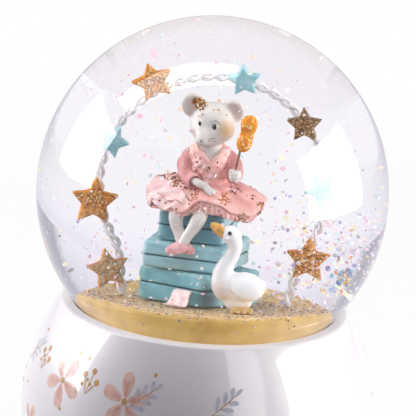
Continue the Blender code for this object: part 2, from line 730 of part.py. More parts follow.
def make_boxes():
    """Three stacked boxes, each turned another way, and the ribbon from the lowest one."""
    teal = finish("box_teal", (0.16, 0.40, 0.45), 0.45)
    sand = SAND_TOP_Z - BALL_Z
    gift_box("lower_box", (-1.5, 4.0), 18.0, 39.6, sand + GAP, -16.9, -20.4, teal)
    gift_box("middle_box", (-2.8, 4.0), 18.2, 15.6, -16.6, -11.0, -14.0, teal)
    gift_box("upper_box", (-2.7, 4.0), 14.4, 10.8, -10.7, -3.8, -7.4, teal)
    strip = [(0, -20.8), (-0.9, -21.2), (-1.6, -22.3), (-2.4, -23.3), (-4.4, -23.7)]
    thickness = 0.5
    route = [Vector(point) for point in smooth_path(strip, 2)]
    bm = bmesh.new()
    half_width = 2.2
    rows = []
    for index, point in enumerate(route):
        spread = half_width * (1 + 0.25 * index / len(route))
        rows.append([bm.verts.new(metres((side * spread, point.x, point.y))) for side in (-1, -0.4, 0.4, 1)])
    for near, far in zip(rows, rows[1:]):
        for i in range(3):
            bm.faces.new((near[i], near[i + 1], far[i + 1], far[i]))
    cloth = from_bmesh("ribbon", bm, finish("ribbon_cloth", (0.86, 0.70, 0.72), 0.6),
                       (-4.4, -6.2, BALL_Z), (0, 0, -39.6))
    thick = cloth.modifiers.new("thickness", "SOLIDIFY")
    thick.thickness = thickness * MM
    thick.offset = 0


def around(table, angle):
    """Value of a table of (degrees, value) that runs round a circle, smooth between its entries."""
    turn = math.degrees(angle) % 360
    entries = [*table, (table[0][0] + 360, table[0][1])]
    for (start, first), (end, second) in zip(entries, entries[1:]):
        if turn <= end:
            share = (turn - start) / (end - start)
            return first + (second - first) * share * share * (3 - 2 * share)
    return table[0][1]


def skirt_place(reach, angle):
    """A place on the skirt's upper face; reach runs from 0 at the waist to 1 at the hem."""
    x = (WAIST_R[0] + (HEM_R[0] - WAIST_R[0]) * reach) * math.cos(angle)
    y = (WAIST_R[1] + (HEM_R[1] - WAIST_R[1]) * reach) * math.sin(angle)
    fall = (around(HEM, angle) - MOUSE_WAIST[2]) * reach ** 1.35
    puff = 0.45 * math.sin(math.pi * reach)
    return Vector((x, y, MOUSE_WAIST[2] + fall + puff))


def make_dress(pink):
    """Wide skirt with a wavy hem and a frill, and the bodice that stands in it."""
    bm = bmesh.new()
    sides = 30
    angles = [2 * math.pi * side / sides for side in range(sides)]
    places = [[skirt_place(reach, angle) for angle in angles] for reach in (0.0, 0.33, 0.67, 1.0)]
    frill = []
    for angle in angles:
        edge = skirt_place(1.0, angle)
        edge.z = around(FRILL, angle)
        frill.append(edge)
    rings = [[bm.verts.new(metres(place)) for place in ring] for ring in [*places, frill]]
    bm.faces.new(rings[0])
    for inner, outer in zip(rings, rings[1:]):
        for i in range(sides):
            j = (i + 1) % sides
            bm.faces.new((inner[i], inner[j], outer[j], outer[i]))
    skirt = from_bmesh("mouse_skirt", bm, pink, in_ball((MOUSE_WAIST[0], MOUSE_WAIST[1], 0)))
    thick = skirt.modifiers.new("thickness", "SOLIDIFY")
    thick.thickness = SKIRT_T * MM
    thick.offset = -1
    bodice = limb("mouse_bodice",
                  [(-1.3, -0.8, 2.6, 3.0), (-1.3, -0.8, 4.2, 3.7), (-1.3, -0.7, 6.6, 4.1),
                   (-1.2, -0.6, 8.6, 3.5), (-1.2, -0.7, 9.6, 2.4)], pink)
    clear_of(bodice, skirt)
    return skirt, bodice


def make_head(fur, bodice):
    """Head of the mouse, with a short neck, a snout and two ears that are hollow in front."""
    head = egg("mouse_head", (4.45, 4.2, 3.95), in_ball((-1.1, -0.6, 16.4)), fur, rings=7)
    fuse(head, egg("jowls", (4.75, 4.1, 3.6), in_ball((-1.05, -1.3, 14.5)), rings=7))
    snout = [(-2.0, -3.0, 13.9, 2.5), (-2.9, -4.9, 13.2, 1.8), (-3.3, -6.4, 12.9, 0.8)]
    neck = [(-1.4, -0.7, 13.0, 2.2), (-1.2, -0.8, 11.4, 2.1), (-1.2, -0.8, 9.9, 2.1)]
    fuse(head, limb("snout", snout, sides=1))
    fuse(head, limb("neck", neck, sides=1))
    ears = (((-5.6, 0.3, 19.2), (0, -28, 12)), ((2.9, 0.3, 18.2), (0, 44, -14)))
    for number, (place, turn) in enumerate(ears):
        fuse(head, egg(f"ear_{number}", (2.65, 1.0, 3.05), in_ball(place), turn=turn, rings=6))
        front = (place[0], place[1] - 1.15, place[2] + 0.15)
        cut(head, egg(f"ear_hollow_{number}", (2.0, 0.9, 2.35), in_ball(front), turn=turn, rings=5))
    clear_of(head, bodice)


def make_mouse():
    """Mouse in a pink dress: head with ears, sleeves, hands, legs and shoes."""
    pink = finish("dress_pink", (0.74, 0.42, 0.42), 0.55)
    fur = finish("mouse_white", (0.78, 0.75, 0.72), 0.5)
    shoe_pink = finish("shoe_pink", (0.80, 0.48, 0.50), 0.45)
    skirt, bodice = make_dress(pink)
    make_head(fur, bodice)
    arms = {"left": [(-4.2, -0.6, 9.0, 0.6), (-4.9, -0.6, 8.2, 1.5), (-6.0, -1.3, 6.4, 1.75),
                     (-5.9, -2.9, 4.4, 1.65), (-4.2, -6.0, 3.6, 1.5)],
            "right": [(1.6, -0.6, 9.2, 0.6), (2.3, -0.6, 8.4, 1.5), (3.7, -1.3, 7.0, 1.75),
                      (4.5, -3.0, 5.4, 1.65), (4.4, -5.7, 5.3, 1.5)]}
    hands = {"left": [(-4.0, -6.2, 3.7, 0.8), (-2.8, -7.2, 3.4, 0.75), (-1.2, -8.0, 2.9, 0.65),
                      (0.4, -8.6, 2.3, 0.4)],
             "right": [(4.4, -6.0, 5.4, 1.0), (4.5, -6.7, 5.8, 1.25), (4.4, -7.6, 6.6, 0.95)]}
    legs = {"left": [(-7.2, -5.0, -1.9, 1.5), (-7.5, -6.9, -3.6, 1.6), (-7.5, -7.5, -5.4, 1.4),
                     (-6.3, -7.8, -9.4, 1.0)],
            "right": [(-2.2, -6.6, -1.9, 1.5), (-2.5, -8.8, -3.7, 1.6), (-3.3, -9.6, -5.4, 1.4),
                      (-5.6, -10.2, -9.2, 1.0)]}
    shoes = {"left": (-4.9, -8.5, -10.9), "right": (-7.2, -10.8, -10.8)}
    made = {}
    for side in ("left", "right"):
        sleeve = limb(f"mouse_sleeve_{side}", arms[side], pink)
        clear_of(sleeve, bodice, skirt)
        hand = limb(f"mouse_hand_{side}", hands[side], fur)
        made[side] = clear_of(hand, sleeve, skirt)
        leg = limb(f"mouse_leg_{side}", legs[side], fur)
        clear_of(leg, skirt)
        spin = 20 if side == "right" else -20
        shoe = egg(f"mouse_shoe_{side}", (2.1, 1.3, 1.2), in_ball(shoes[side]), shoe_pink, (0, 0, spin), 6)
        clear_of(shoe, leg)
    return made


def make_lolly(hands):
    """Glittery lolly on its stick in the mouse's hand."""
    gold = finish("lolly_orange", (0.80, 0.42, 0.08), 0.4)
    stick_route = [in_ball((4.2, -7.4, 4.2)), in_ball((5.6, -7.4, 12.5))]
    stick = tube("lolly_stick", stick_route, 0.25, finish("stick_wood", (0.45, 0.28, 0.16), 0.6), sides=1)
    half_width, half_height, thickness, corner = 1.95, 4.2, 2.4, 1.2
    outline = rounded_rectangle((-half_width, -half_height), (half_width, half_height), corner, 3)
    head = as_mesh(plate("lolly_head", [outline], thickness, gold, in_ball((6.6, -7.4, 15.9)), (90, 10, 0)))
    soft = head.modifiers.new("round", "BEVEL")
    soft.width = 0.5 * MM
    soft.segments = 1
    clear_of(head, stick)
    clear_of(hands["right"], stick)


def make_goose():
    """White goose with a folded wing on each side, and its beak."""
    white = finish("goose_white", (0.86, 0.85, 0.83), 0.4)
    x, y, z = GOOSE
    body = egg("goose_body", (5.2, 3.5, 3.4), in_ball((x + 0.5, y, z + 1.1)), white, (0, 8, 0), 7)
    breast_at = in_ball((x - 2.7, y, z + 1.5))
    fuse(body, egg("goose_breast", (2.7, 2.8, 3.8), breast_at, turn=(0, -14, 0), rings=6))
    neck = [(x - 3.2, y, z + 3.2, 2.2), (x - 2.6, y, z + 6.0, 1.65), (x - 1.3, y, z + 8.3, 1.4),
            (x - 0.7, y, z + 10.2, 1.35), (x - 1.1, y - 0.1, z + 12.0, 1.6)]
    tail = [(x + 3.6, y, z + 1.2, 2.2), (x + 5.0, y, z + 1.7, 1.4), (x + 6.0, y, z + 2.2, 0.7)]
    feet = [(x - 0.6, y - 1.4, z - 3.4, 0.8), (x + 0.6, y - 1.4, z - 3.2, 1.5),
            (x + 3.8, y - 1.4, z - 3.2, 1.2)]
    fuse(body, limb("goose_neck", neck))
    fuse(body, limb("goose_tail", tail, sides=1))
    fuse(body, limb("goose_feet", feet, sides=1))
    skull_at = in_ball((x - 1.9, y - 0.2, z + 13.0))
    fuse(body, egg("goose_skull", (2.25, 1.95, 2.05), skull_at, turn=(0, 20, 0), rings=6))
    for number, side in enumerate((-1, 1)):
        wing_at = in_ball((x + 2.5, y + side * 2.4, z + 1.2))
        fuse(body, egg(f"goose_wing_{number}", (3.75, 1.6, 3.8), wing_at, turn=(0, 15, side * 5), rings=6))
    foot_z = SAND_TOP_Z - BALL_Z + GAP
    cut(body, block("goose_ground", in_ball((x - 12, y - 9, foot_z - 9)), in_ball((x + 12, y + 9, foot_z))))
    bill = [(x - 3.3, y - 0.2, z + 13.2, 1.25), (x - 4.7, y - 0.3, z + 14.1, 1.05),
            (x - 6.2, y - 0.3, z + 15.1, 0.6)]
    clear_of(limb("goose_beak", bill, finish("beak_yellow", (0.80, 0.54, 0.16), 0.4)), body)


def arch_route(step=1.4):
    """Places and outward directions along the arch, from the left foot over to the right one."""
    foot_z = SAND_TOP_Z - BALL_Z + WIRE_R
    shoulder = (ARCH_R * math.cos(ARCH_TURN), ARCH_R * math.sin(ARCH_TURN))
    leg = Vector((ARCH_FOOT_X - shoulder[0], foot_z - shoulder[1]))
    leg_steps = max(2, round(leg.length / step))
    sweep = math.pi - 2 * ARCH_TURN
    arc_steps = round(sweep * ARCH_R / step)
    side = [Vector(shoulder) + leg * (1 - i / leg_steps) for i in range(leg_steps)]
    route = [Vector((-point.x, point.y)) for point in side]
    for i in range(arc_steps + 1):
        angle = math.pi - ARCH_TURN - sweep * i / arc_steps
        route.append(ARCH_R * Vector((math.cos(angle), math.sin(angle))))
    return route + list(reversed(side))


def make_arch():
    """Two wires twisted into an arch whose feet stand on the sand."""
    white = finish("arch_wire", (0.85, 0.83, 0.84), 0.4)
    route = arch_route()
    for name, phase in (("arch_wire_front", 0.0), ("arch_wire_back", math.pi)):
        points = []
        travelled = 0.0
        for index, place in enumerate(route):
            before = route[max(index - 1, 0)]
            after = route[min(index + 1, len(route) - 1)]
            along = (after - before).normalized()
            outward = Vector((-along.y, along.x))
            travelled += (place - before).length
            angle = 2 * math.pi * travelled / WIRE_LAY + phase
            lay = place + outward * WIRE_LAY_R * math.sin(angle)
            points.append(in_ball((lay.x, ARCH_Y - WIRE_LAY_R * math.cos(angle), lay.y)))
        tube(name, points, WIRE_R, white, sides=0)


def make_stars():
    """Eight thick stars on the front of the arch, gold and teal ones."""
    gold = finish("star_gold", (0.72, 0.45, 0.15), 0.35, 0.4)
    teal = finish("star_teal", (0.32, 0.60, 0.62), 0.4)
    stars = ((-19.9, -19.0, 4.3, -16, gold), (-24.2, -5.2, 5.1, 0, gold), (-21.8, 8.0, 3.6, 23, teal),
             (-14.6, 22.1, 4.6, -23, gold), (5.0, 23.9, 3.8, -7, teal), (18.4, 14.7, 3.9, -4, gold),
             (22.6, 0.7, 3.6, -30, teal), (20.4, -14.2, 4.7, 2, gold))
    for number, (x, z, radius, lean, material) in enumerate(stars, 1):
        outline = []
        for point in range(10):
            angle = math.radians(90 + 36 * point)
            reach = radius if point % 2 == 0 else radius * 0.52
            outline.append((reach * math.cos(angle), reach * math.sin(angle)))
        depth = ARCH_Y - WIRE_LAY_R - WIRE_R - GAP - STAR_T / 2
        plate(f"star_{number}", [outline], STAR_T, material, in_ball((x, depth, z)), (90, lean, 0))


start_scene()
make_ball()
make_base()
make_movement()
make_boxes()
make_lolly(make_mouse())
make_goose()
make_arch()
make_stars()
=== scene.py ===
"""Looks of a musical snow globe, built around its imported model.

Sizes are in millimetres and MM turns them into metres.  Places inside the ball are measured
from its middle: x to the right, y to the back and z up, as seen from the front.
"""
import json
import math

import bmesh
import bpy
import numpy as np
import openvdb
from mathutils import Euler, Matrix, Vector
from mathutils.bvhtree import BVHTree


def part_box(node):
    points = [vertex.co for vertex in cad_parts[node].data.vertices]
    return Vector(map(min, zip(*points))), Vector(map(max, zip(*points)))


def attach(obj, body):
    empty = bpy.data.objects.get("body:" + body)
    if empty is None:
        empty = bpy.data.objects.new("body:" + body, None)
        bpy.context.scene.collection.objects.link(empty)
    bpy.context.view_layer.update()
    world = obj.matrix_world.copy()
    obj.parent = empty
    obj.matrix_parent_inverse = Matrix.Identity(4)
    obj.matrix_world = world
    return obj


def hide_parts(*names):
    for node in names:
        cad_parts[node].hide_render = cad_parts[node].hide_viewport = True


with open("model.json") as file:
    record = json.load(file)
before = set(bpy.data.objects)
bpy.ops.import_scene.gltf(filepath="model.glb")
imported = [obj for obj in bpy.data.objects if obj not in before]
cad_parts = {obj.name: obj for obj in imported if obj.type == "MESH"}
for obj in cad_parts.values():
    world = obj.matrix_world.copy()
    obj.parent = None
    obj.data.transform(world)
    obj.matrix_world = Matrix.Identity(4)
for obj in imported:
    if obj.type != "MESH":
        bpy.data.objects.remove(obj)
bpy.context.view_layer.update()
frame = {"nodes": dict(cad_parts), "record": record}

MM = 0.001
RANDOM = np.random.default_rng(12)


def span(node):
    """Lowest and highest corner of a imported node, in millimetres."""
    low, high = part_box(node)
    return low / MM, high / MM


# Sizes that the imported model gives
ball_low, ball_high = span("glass_globe")
sand_low, sand_high = span("sand_disc")
base_low, base_high = span("base_shell")
BALL_R = (ball_high.x - ball_low.x) / 2
BALL_Z = ball_high.z - BALL_R
NECK_END_Z = ball_low.z
SAND_R = (sand_high.x - sand_low.x) / 2
SAND_LOW_Z = sand_low.z
SAND_TOP_Z = sand_high.z
BASE_LOW_Z = base_low.z
BASE_RIM_Z = base_high.z

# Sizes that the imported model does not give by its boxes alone
GLASS = 2.0
GLASS_INDEX = 1.5
LIQUID_INDEX = 1.333
NECK_R = 33.0
BASE_ARC_R = 62.0
BASE_ARC_AXIS = -11.0
BASE_ARC_Z = 20.0
ARCH_R = 23.3
ARCH_Y = 8.0
ARCH_FOOT_X = 16.2
ARCH_TURN = math.radians(-38.0)
WIRE_R = 0.45
WIRE_LAY_R = 0.62
WIRE_LAY = 6.0

# Where the camera stands, from the ball's middle, and its directions before it is rolled
CAMERA_DISTANCE = 600.0
CAMERA_RISE = math.radians(14.3)
CAMERA_ROLL = math.radians(4.25)
CAMERA_RIGHT = Vector((1, 0, 0))
CAMERA_UP = Vector((0, math.sin(CAMERA_RISE), math.cos(CAMERA_RISE)))
CAMERA_BACK = Vector((0, -math.cos(CAMERA_RISE), math.sin(CAMERA_RISE)))

# Distance from which lines are cast on to the figures
FAR_OFF = 60.0

# Where the figures are, from the ball's middle
MOUSE_WAIST = (-1.3, -0.8, 3.0)
GOOSE = (6.6, -11.0, -19.6)

# Angles in degrees above which an edge stays sharp
CRISP = 40.0
SOFT = 80.0
FACETED = 10.0

WHITE = (1.0, 1.0, 1.0, 1.0)


def srgb(red, green, blue):
    """A colour given as it shows on a screen, from 0 to 255, in linear light."""
    linear = []
    for value in (red, green, blue):
        share = value / 255
        linear.append(share / 12.92 if share <= 0.04045 else ((share + 0.055) / 1.055) ** 2.4)
    return (*linear, 1.0)


def tones(*colours):
    """A palette of colours given as they show on a screen."""
    return tuple(srgb(*colour) for colour in colours)


def metres(place):
    return Vector(place) * MM


def at(place):
    """A place given from the middle of the ball, in metres and in the part's own frame."""
    return metres((place[0], place[1], place[2] + BALL_Z))


class Nodes:
    """Short names for the nodes of a material or of the world."""

    def __init__(self, tree):
        self.nodes = tree.nodes
        self.links = tree.links

    def feed(self, socket, value):
        """Set a socket to a value, or link another socket to it."""
        if isinstance(value, bpy.types.NodeSocket):
            self.links.new(value, socket)
        else:
            socket.default_value = value

    def node(self, kind, inputs, **settings):
        made = self.nodes.new(kind)
        for name, value in settings.items():
            setattr(made, name, value)
        for socket, value in inputs.items():
            self.feed(made.inputs[socket], value)
        return made

    def ramp(self, value, stops):
        """A colour that follows a value; each stop is a position and a colour as it shows on a screen."""
        made = self.node("ShaderNodeValToRGB", {"Fac": value})
        points = made.color_ramp.elements
        while len(points) < len(stops):
            points.new(0.5)
        for point, (position, colour) in zip(points, stops):
            point.position = position
            point.color = srgb(*colour)
        return made.outputs["Color"]

    def maths(self, operation, first, second=0.0, **settings):
        made = self.node("ShaderNodeMath", {0: first, 1: second}, operation=operation, **settings)
        return made.outputs["Value"]

    def mix(self, factor, first, second, **settings):
        made = self.node("ShaderNodeMix", {}, data_type="RGBA", **settings)
        for index, value in ((0, factor), (6, first), (7, second)):
            self.feed(made.inputs[index], value)
        return made.outputs[2]

    def share(self, value, low, high):
        """A value mapped so that low becomes 0 and high becomes 1."""
        inputs = {"Value": value, "From Min": low, "From Max": high}
        return self.node("ShaderNodeMapRange", inputs).outputs["Result"]

    def blend(self, factor, first, second):
        """One shader mixed into another."""
        return self.node("ShaderNodeMixShader", {0: factor, 1: first, 2: second}).outputs["Shader"]

    def seen_rays(self):
        """Three values, each 1 for rays from the camera, off a gloss, or through glass."""
        path = self.nodes.new("ShaderNodeLightPath").outputs
        glass = path["Is Transmission Ray"]
        mirrored = self.maths("SUBTRACT", path["Is Glossy Ray"], glass, use_clamp=True)
        return path["Is Camera Ray"], mirrored, glass


class Paint(Nodes):
    """A node material round one Principled shader, with texture sizes in millimetres."""

    def __init__(self, name, roughness=0.5, metallic=0.0, more=None):
        self.material = bpy.data.materials.new(name)
        self.material.use_nodes = True
        super().__init__(self.material.node_tree)
        self.shader = self.nodes["Principled BSDF"]
        self.output = self.nodes["Material Output"]
        self.place = self.nodes.new("ShaderNodeTexCoord").outputs["Object"]
        settings = {"Roughness": roughness, "Metallic": metallic, **(more or {})}
        for socket, value in settings.items():
            self.shader.inputs[socket].default_value = value

    def noise(self, size, detail=3.0, stretch=None):
        place = self.place
        if stretch:
            place = self.node("ShaderNodeMapping", {"Vector": place, "Scale": stretch}).outputs["Vector"]
        inputs = {"Vector": place, "Scale": 1 / (size * MM), "Detail": detail}
        return self.node("ShaderNodeTexNoise", inputs).outputs["Fac"]

    def cells(self, size):
        """Colours of Voronoi cells of about the given size, and a number that differs from cell to cell."""
        made = self.node("ShaderNodeTexVoronoi", {"Vector": self.place, "Scale": 1 / (size * MM)})
        colours = made.outputs["Color"]
        return colours, self.node("ShaderNodeSeparateColor", {"Color": colours}).outputs["Red"]

    def stored(self, name, output="Fac"):
        """A value that is stored on the mesh."""
        return self.node("ShaderNodeAttribute", {}, attribute_name=name).outputs[output]

    def normal(self):
        return self.nodes.new("ShaderNodeNewGeometry").outputs["Normal"]

    def along(self, vector, axis):
        return self.node("ShaderNodeSeparateXYZ", {"Vector": vector}).outputs[axis]

    def vector(self, operation, first, second):
        made = self.node("ShaderNodeVectorMath", {0: first}, operation=operation)
        self.feed(made.inputs["Scale" if operation == "SCALE" else 1], second)
        return made.outputs["Vector"]

    def near(self, place, radius):
        """1 at a place in the ball, falling to 0 at the radius."""
        gap = self.node("ShaderNodeVectorMath", {0: self.place, 1: at(place)}, operation="DISTANCE")
        return self.share(gap.outputs["Value"], radius * MM, 0.0)

    def colour(self, value):
        self.feed(self.shader.inputs["Base Color"], value)

    def rough(self, value, low, high):
        """Roughness that follows a value from low to high."""
        made = self.node("ShaderNodeMapRange", {"Value": value, "To Min": low, "To Max": high})
        self.feed(self.shader.inputs["Roughness"], made.outputs["Result"])

    def bump(self, height, depth):
        made = self.node("ShaderNodeBump", {"Height": height, "Distance": depth * MM})
        self.feed(self.shader.inputs["Normal"], made.outputs["Normal"])

    def sparkle(self, cell_colour, tilt):
        """Tilt the surface at random from cell to cell, as loose flakes lie."""
        lean = self.vector("SCALE", self.vector("SUBTRACT", cell_colour, (0.5, 0.5, 0.5)), tilt)
        leaning = self.vector("ADD", self.normal(), lean)
        tilted = self.node("ShaderNodeVectorMath", {0: leaning}, operation="NORMALIZE")
        self.feed(self.shader.inputs["Normal"], tilted.outputs["Vector"])

    def show(self, shader):
        """Show a shader in place of the Principled one."""
        self.links.new(shader, self.output.inputs["Surface"])


# Finishes

def mottled(name, colours, size=2.5, roughness=0.5, grain=0.02, more=None):
    """Hand-painted resin whose tone wanders from deep over middle to light, and that tone to paint over."""
    paint = Paint(name, roughness, more=more)
    tone = paint.noise(size, 4.0)
    flat = paint.ramp(tone, tuple(zip((0.32, 0.5, 0.68), colours)))
    paint.colour(flat)
    paint.rough(paint.noise(size * 0.6), roughness - 0.08, roughness + 0.10)
    paint.bump(paint.noise(size * 0.12, 5.0), grain)
    return paint, flat


def painted(*settings):
    """Hand-painted resin, as mottled makes it, with nothing painted over."""
    return mottled(*settings)[0].material


def glitter(name, stops, cell=0.32, tilt=0.9, metallic=0.65, roughness=0.28, edge=None):
    """A coat of fine glitter, with a tone and lean to each cell; edge colours what doesn't face the front."""
    paint = Paint(name, roughness, metallic)
    grains, tone = paint.cells(cell)
    coat = paint.ramp(tone, stops)
    if edge:
        coat = paint.mix(paint.share(paint.along(paint.normal(), "Y"), -0.88, -0.6), coat, edge)
    paint.colour(coat)
    paint.sparkle(grains, tilt)
    return paint.material


def metal(name, base, dark, roughness, size=1.5, stretch=None):
    """Bare metal with a faint grain."""
    paint = Paint(name, roughness, 1.0)
    grain = paint.noise(size, 5.0, stretch)
    paint.colour(paint.ramp(grain, ((0.3, dark), (0.65, base))))
    paint.rough(grain, roughness - 0.1, roughness + 0.12)
    paint.bump(paint.noise(size * 0.3, 4.0, stretch), 0.01)
    return paint.material


def clear_glass(name, index):
    """Clear glass that lets the lamps light what is inside; index is relative to what it meets."""
    paint = Paint(name, 0.0, more={"Transmission Weight": 1.0, "IOR": index})
    paint.colour(paint.ramp(paint.noise(30.0), ((0.3, (253, 252, 255)), (0.7, (255, 255, 255)))))
    path = paint.nodes.new("ShaderNodeLightPath").outputs
    lets_by = paint.maths("MAXIMUM", path["Is Shadow Ray"], path["Is Diffuse Ray"])
    clear = paint.nodes.new("ShaderNodeBsdfTransparent").outputs["BSDF"]
    paint.show(paint.blend(lets_by, paint.shader.outputs["BSDF"], clear))
    return paint.material


def base_glaze():
    """Glossy white coat of the base."""
    paint = Paint("white_glaze", 0.3, more={"Coat Weight": 1.0, "Coat Roughness": 0.03})
    tone = paint.noise(18.0, 3.0)
    paint.colour(paint.ramp(tone, ((0.3, (241, 237, 243)), (0.7, (249, 246, 249)))))
    paint.rough(paint.noise(4.0), 0.26, 0.36)
    paint.bump(paint.noise(9.0, 2.0), 0.02)
    return paint.material


def sand_coat():
    """Mustard resin, its top strewn with brown and gold glitter, its wall darker at the foot as a painted
    shadow where it meets the base.
    """
    paint = Paint("sand", 0.5)
    wall = paint.ramp(paint.noise(5.0, 4.0), ((0.3, (190, 146, 62)), (0.7, (213, 175, 86))))
    grains, tone = paint.cells(0.36)
    strewn = paint.ramp(tone, ((0.0, (132, 94, 58)), (0.3, (190, 146, 98)),
                               (0.55, (230, 190, 132)), (0.8, (246, 218, 168)),
                               (1.0, (255, 247, 232))))
    drift = paint.share(paint.noise(2.6, 5.0, (0.45, 1.0, 1.0)), 0.30, 0.56)
    height = paint.along(paint.place, "Z")
    ragged = paint.maths("ADD", height, paint.maths("MULTIPLY", paint.noise(1.6, 4.0), 0.9 * MM))
    on_top = paint.share(ragged, (SAND_TOP_Z - 0.5) * MM, (SAND_TOP_Z + 0.3) * MM)
    cover = paint.maths("MULTIPLY", on_top, drift)
    # painted shadow: darker mustard at the foot of the wall
    foot = paint.share(height, (SAND_LOW_Z + 3.4) * MM, (SAND_LOW_Z + 0.6) * MM)
    paint.colour(paint.mix(cover, paint.mix(foot, wall, srgb(176, 126, 40)), strewn))
    paint.rough(cover, 0.5, 0.32)
    paint.sparkle(grains, paint.maths("MULTIPLY", cover, 0.8))
    return paint.material


def box_paint(name, deep, light):
    """Teal paint, rubbed paler along the edges and darker in the seams, with a painted highlight on faces
    that turn to the right and a painted shadow beside the goose.
    """
    paint = Paint(name, 0.42)
    tone = paint.noise(4.0, 5.0, (1.0, 1.0, 2.5))
    flat = paint.ramp(tone, ((0.3, deep), (0.7, light)))
    rubbed = paint.maths("MULTIPLY", paint.stored("wear"), paint.share(paint.noise(1.2, 4.0), 0.25, 0.75))
    # painted highlight: faces that turn to the right are paler, as if lit by the right lamp
    flat = paint.mix(paint.share(paint.along(paint.normal(), "X"), 0.62, 0.9), flat, srgb(172, 212, 217))
    wear_and_painted_light = paint.mix(rubbed, flat, srgb(176, 219, 222))
    # painted shadow: dark teal on the lowest box where the goose shades it
    goose_shadow = paint.share(paint.near((2.4, -9.0, -22.0), 5.6), 0.05, 0.6)
    wear_and_painted_light = paint.mix(goose_shadow, wear_and_painted_light, srgb(36, 70, 84))
    paint.colour(paint.mix(paint.stored("seam"), wear_and_painted_light, srgb(28, 62, 70)))
    paint.rough(paint.noise(1.5), 0.36, 0.52)
    paint.bump(paint.noise(0.5, 5.0), 0.03)
    return paint.material


def fur_paint():
    """Warm white of the mouse, with ear hollows darkened by a grey inner tint that is partly painted shade,
    and a warm cheek.
    """
    paint, flat = mottled("mouse_white", ((211, 204, 198), (225, 219, 214), (235, 230, 226)), 3.0, 0.45)
    # ear hollows: grey inner tint, partly painted shade that deepens into the hollow
    grey = paint.mix(paint.stored("hollow"), flat, srgb(204, 188, 182))
    blush = paint.share(paint.near((2.3, -3.9, 15.3), 3.2), 0.0, 0.8)
    paint.colour(paint.mix(blush, grey, srgb(204, 170, 130)))
    return paint.material


def skirt_paint():
    """Pink of the skirt, with a painted highlight that makes it paler on its left and front."""
    paint, flat = mottled("dress_pink", ((220, 154, 150), (234, 174, 168), (243, 198, 190)), 3.0, 0.5)
    # painted highlight: paler pink over the skirt's left side
    pale = paint.share(paint.near((-11.0, -5.0, -0.5), 8.0), 0.0, 0.9)
    paint.colour(paint.mix(pale, flat, srgb(248, 218, 215)))
    return paint.material


def tinted_flakes(name, shine, cover, glow):
    """Glitter flakes, each with a tint of its own; cover is how far they hide what is behind, and glow how
    strongly they glow in their tint, as painted light.
    """
    paint = Paint(name, 0.25, shine, {"Alpha": cover, "Emission Strength": glow})
    glint = paint.ramp(paint.noise(0.5, 2.0), ((0.35, (235, 235, 235)), (0.65, (255, 255, 255))))
    coat = paint.mix(1.0, paint.stored("tint", "Color"), glint, blend_type="MULTIPLY")
    paint.colour(coat)
    # painted light: the flakes glow in their own tint
    paint.feed(paint.shader.inputs["Emission Color"], coat)
    return paint.material


# Meshes

def finished(name, mesh, materials, replaces=(), sharp=SOFT):
    """Show a mesh as a piece that rides on the globe."""
    mesh.shade_smooth()
    mesh.set_sharp_from_angle(angle=math.radians(sharp))
    obj = bpy.data.objects.new(name, mesh)
    for material in materials:
        mesh.materials.append(material)
    bpy.context.scene.collection.objects.link(obj)
    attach(obj, "globe")
    if replaces:
        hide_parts(*replaces)
    return obj


def mesh_of(bm, weld=0.0):
    """A mesh of a bmesh, with its faces turned outwards."""
    if weld:
        bmesh.ops.remove_doubles(bm, verts=bm.verts, dist=weld * MM)
    bmesh.ops.recalc_face_normals(bm, faces=bm.faces)
    mesh = bpy.data.meshes.new("piece")
    bm.to_mesh(mesh)
    bm.free()
    return mesh


def bridge(bm, rings, closed=False):
    """Faces between rings of vertices; a ring of one vertex is a tip."""
    pairs = list(zip(rings, rings[1:]))
    if closed:
        pairs.append((rings[-1], rings[0]))
    for low, high in pairs:
        count = max(len(low), len(high))
        for i in range(count):
            j = (i + 1) % count
            if len(low) == 1:
                bm.faces.new((low[0], high[j], high[i]))
            elif len(high) == 1:
                bm.faces.new((low[i], low[j], high[0]))
            else:
                bm.faces.new((low[i], low[j], high[j], high[i]))


def turned(profile, steps=128):
    """Turn a profile of (radius, height) about the upright axis; one that starts off it closes on itself."""
    bm = bmesh.new()
    rings = []
    for radius, height in profile:
        if radius == 0:
            rings.append([bm.verts.new(metres((0, 0, height)))])
            continue
        angles = [2 * math.pi * i / steps for i in range(steps)]
        ring = [metres((radius * math.cos(a), radius * math.sin(a), height)) for a in angles]
        rings.append([bm.verts.new(place) for place in ring])
    bridge(bm, rings, closed=profile[0][0] != 0)
    return mesh_of(bm)


def arc(centre, radius, start, end, count):
    """Points (radius, height) on an arc; angles in degrees from the outward direction."""
    points = []
    for i in range(count + 1):
        angle = math.radians(start + (end - start) * i / count)
        points.append((centre[0] + radius * math.cos(angle), centre[1] + radius * math.sin(angle)))
    return points


def smooth_path(points, per_span=6):
    """Points on a smooth curve through the given ones, of any dimension."""
    places = [Vector(point) for point in points]
    places = [2 * places[0] - places[1], *places, 2 * places[-1] - places[-2]]
    route = []
    for a, b, c, d in zip(places, places[1:], places[2:], places[3:]):
        for i in range(per_span):
            t = i / per_span
            route.append(0.5 * (2 * b + (c - a) * t + (2 * a - 5 * b + 4 * c - d) * t ** 2
                                + (3 * b - a - 3 * c + d) * t ** 3))
    return route + [places[-2]]


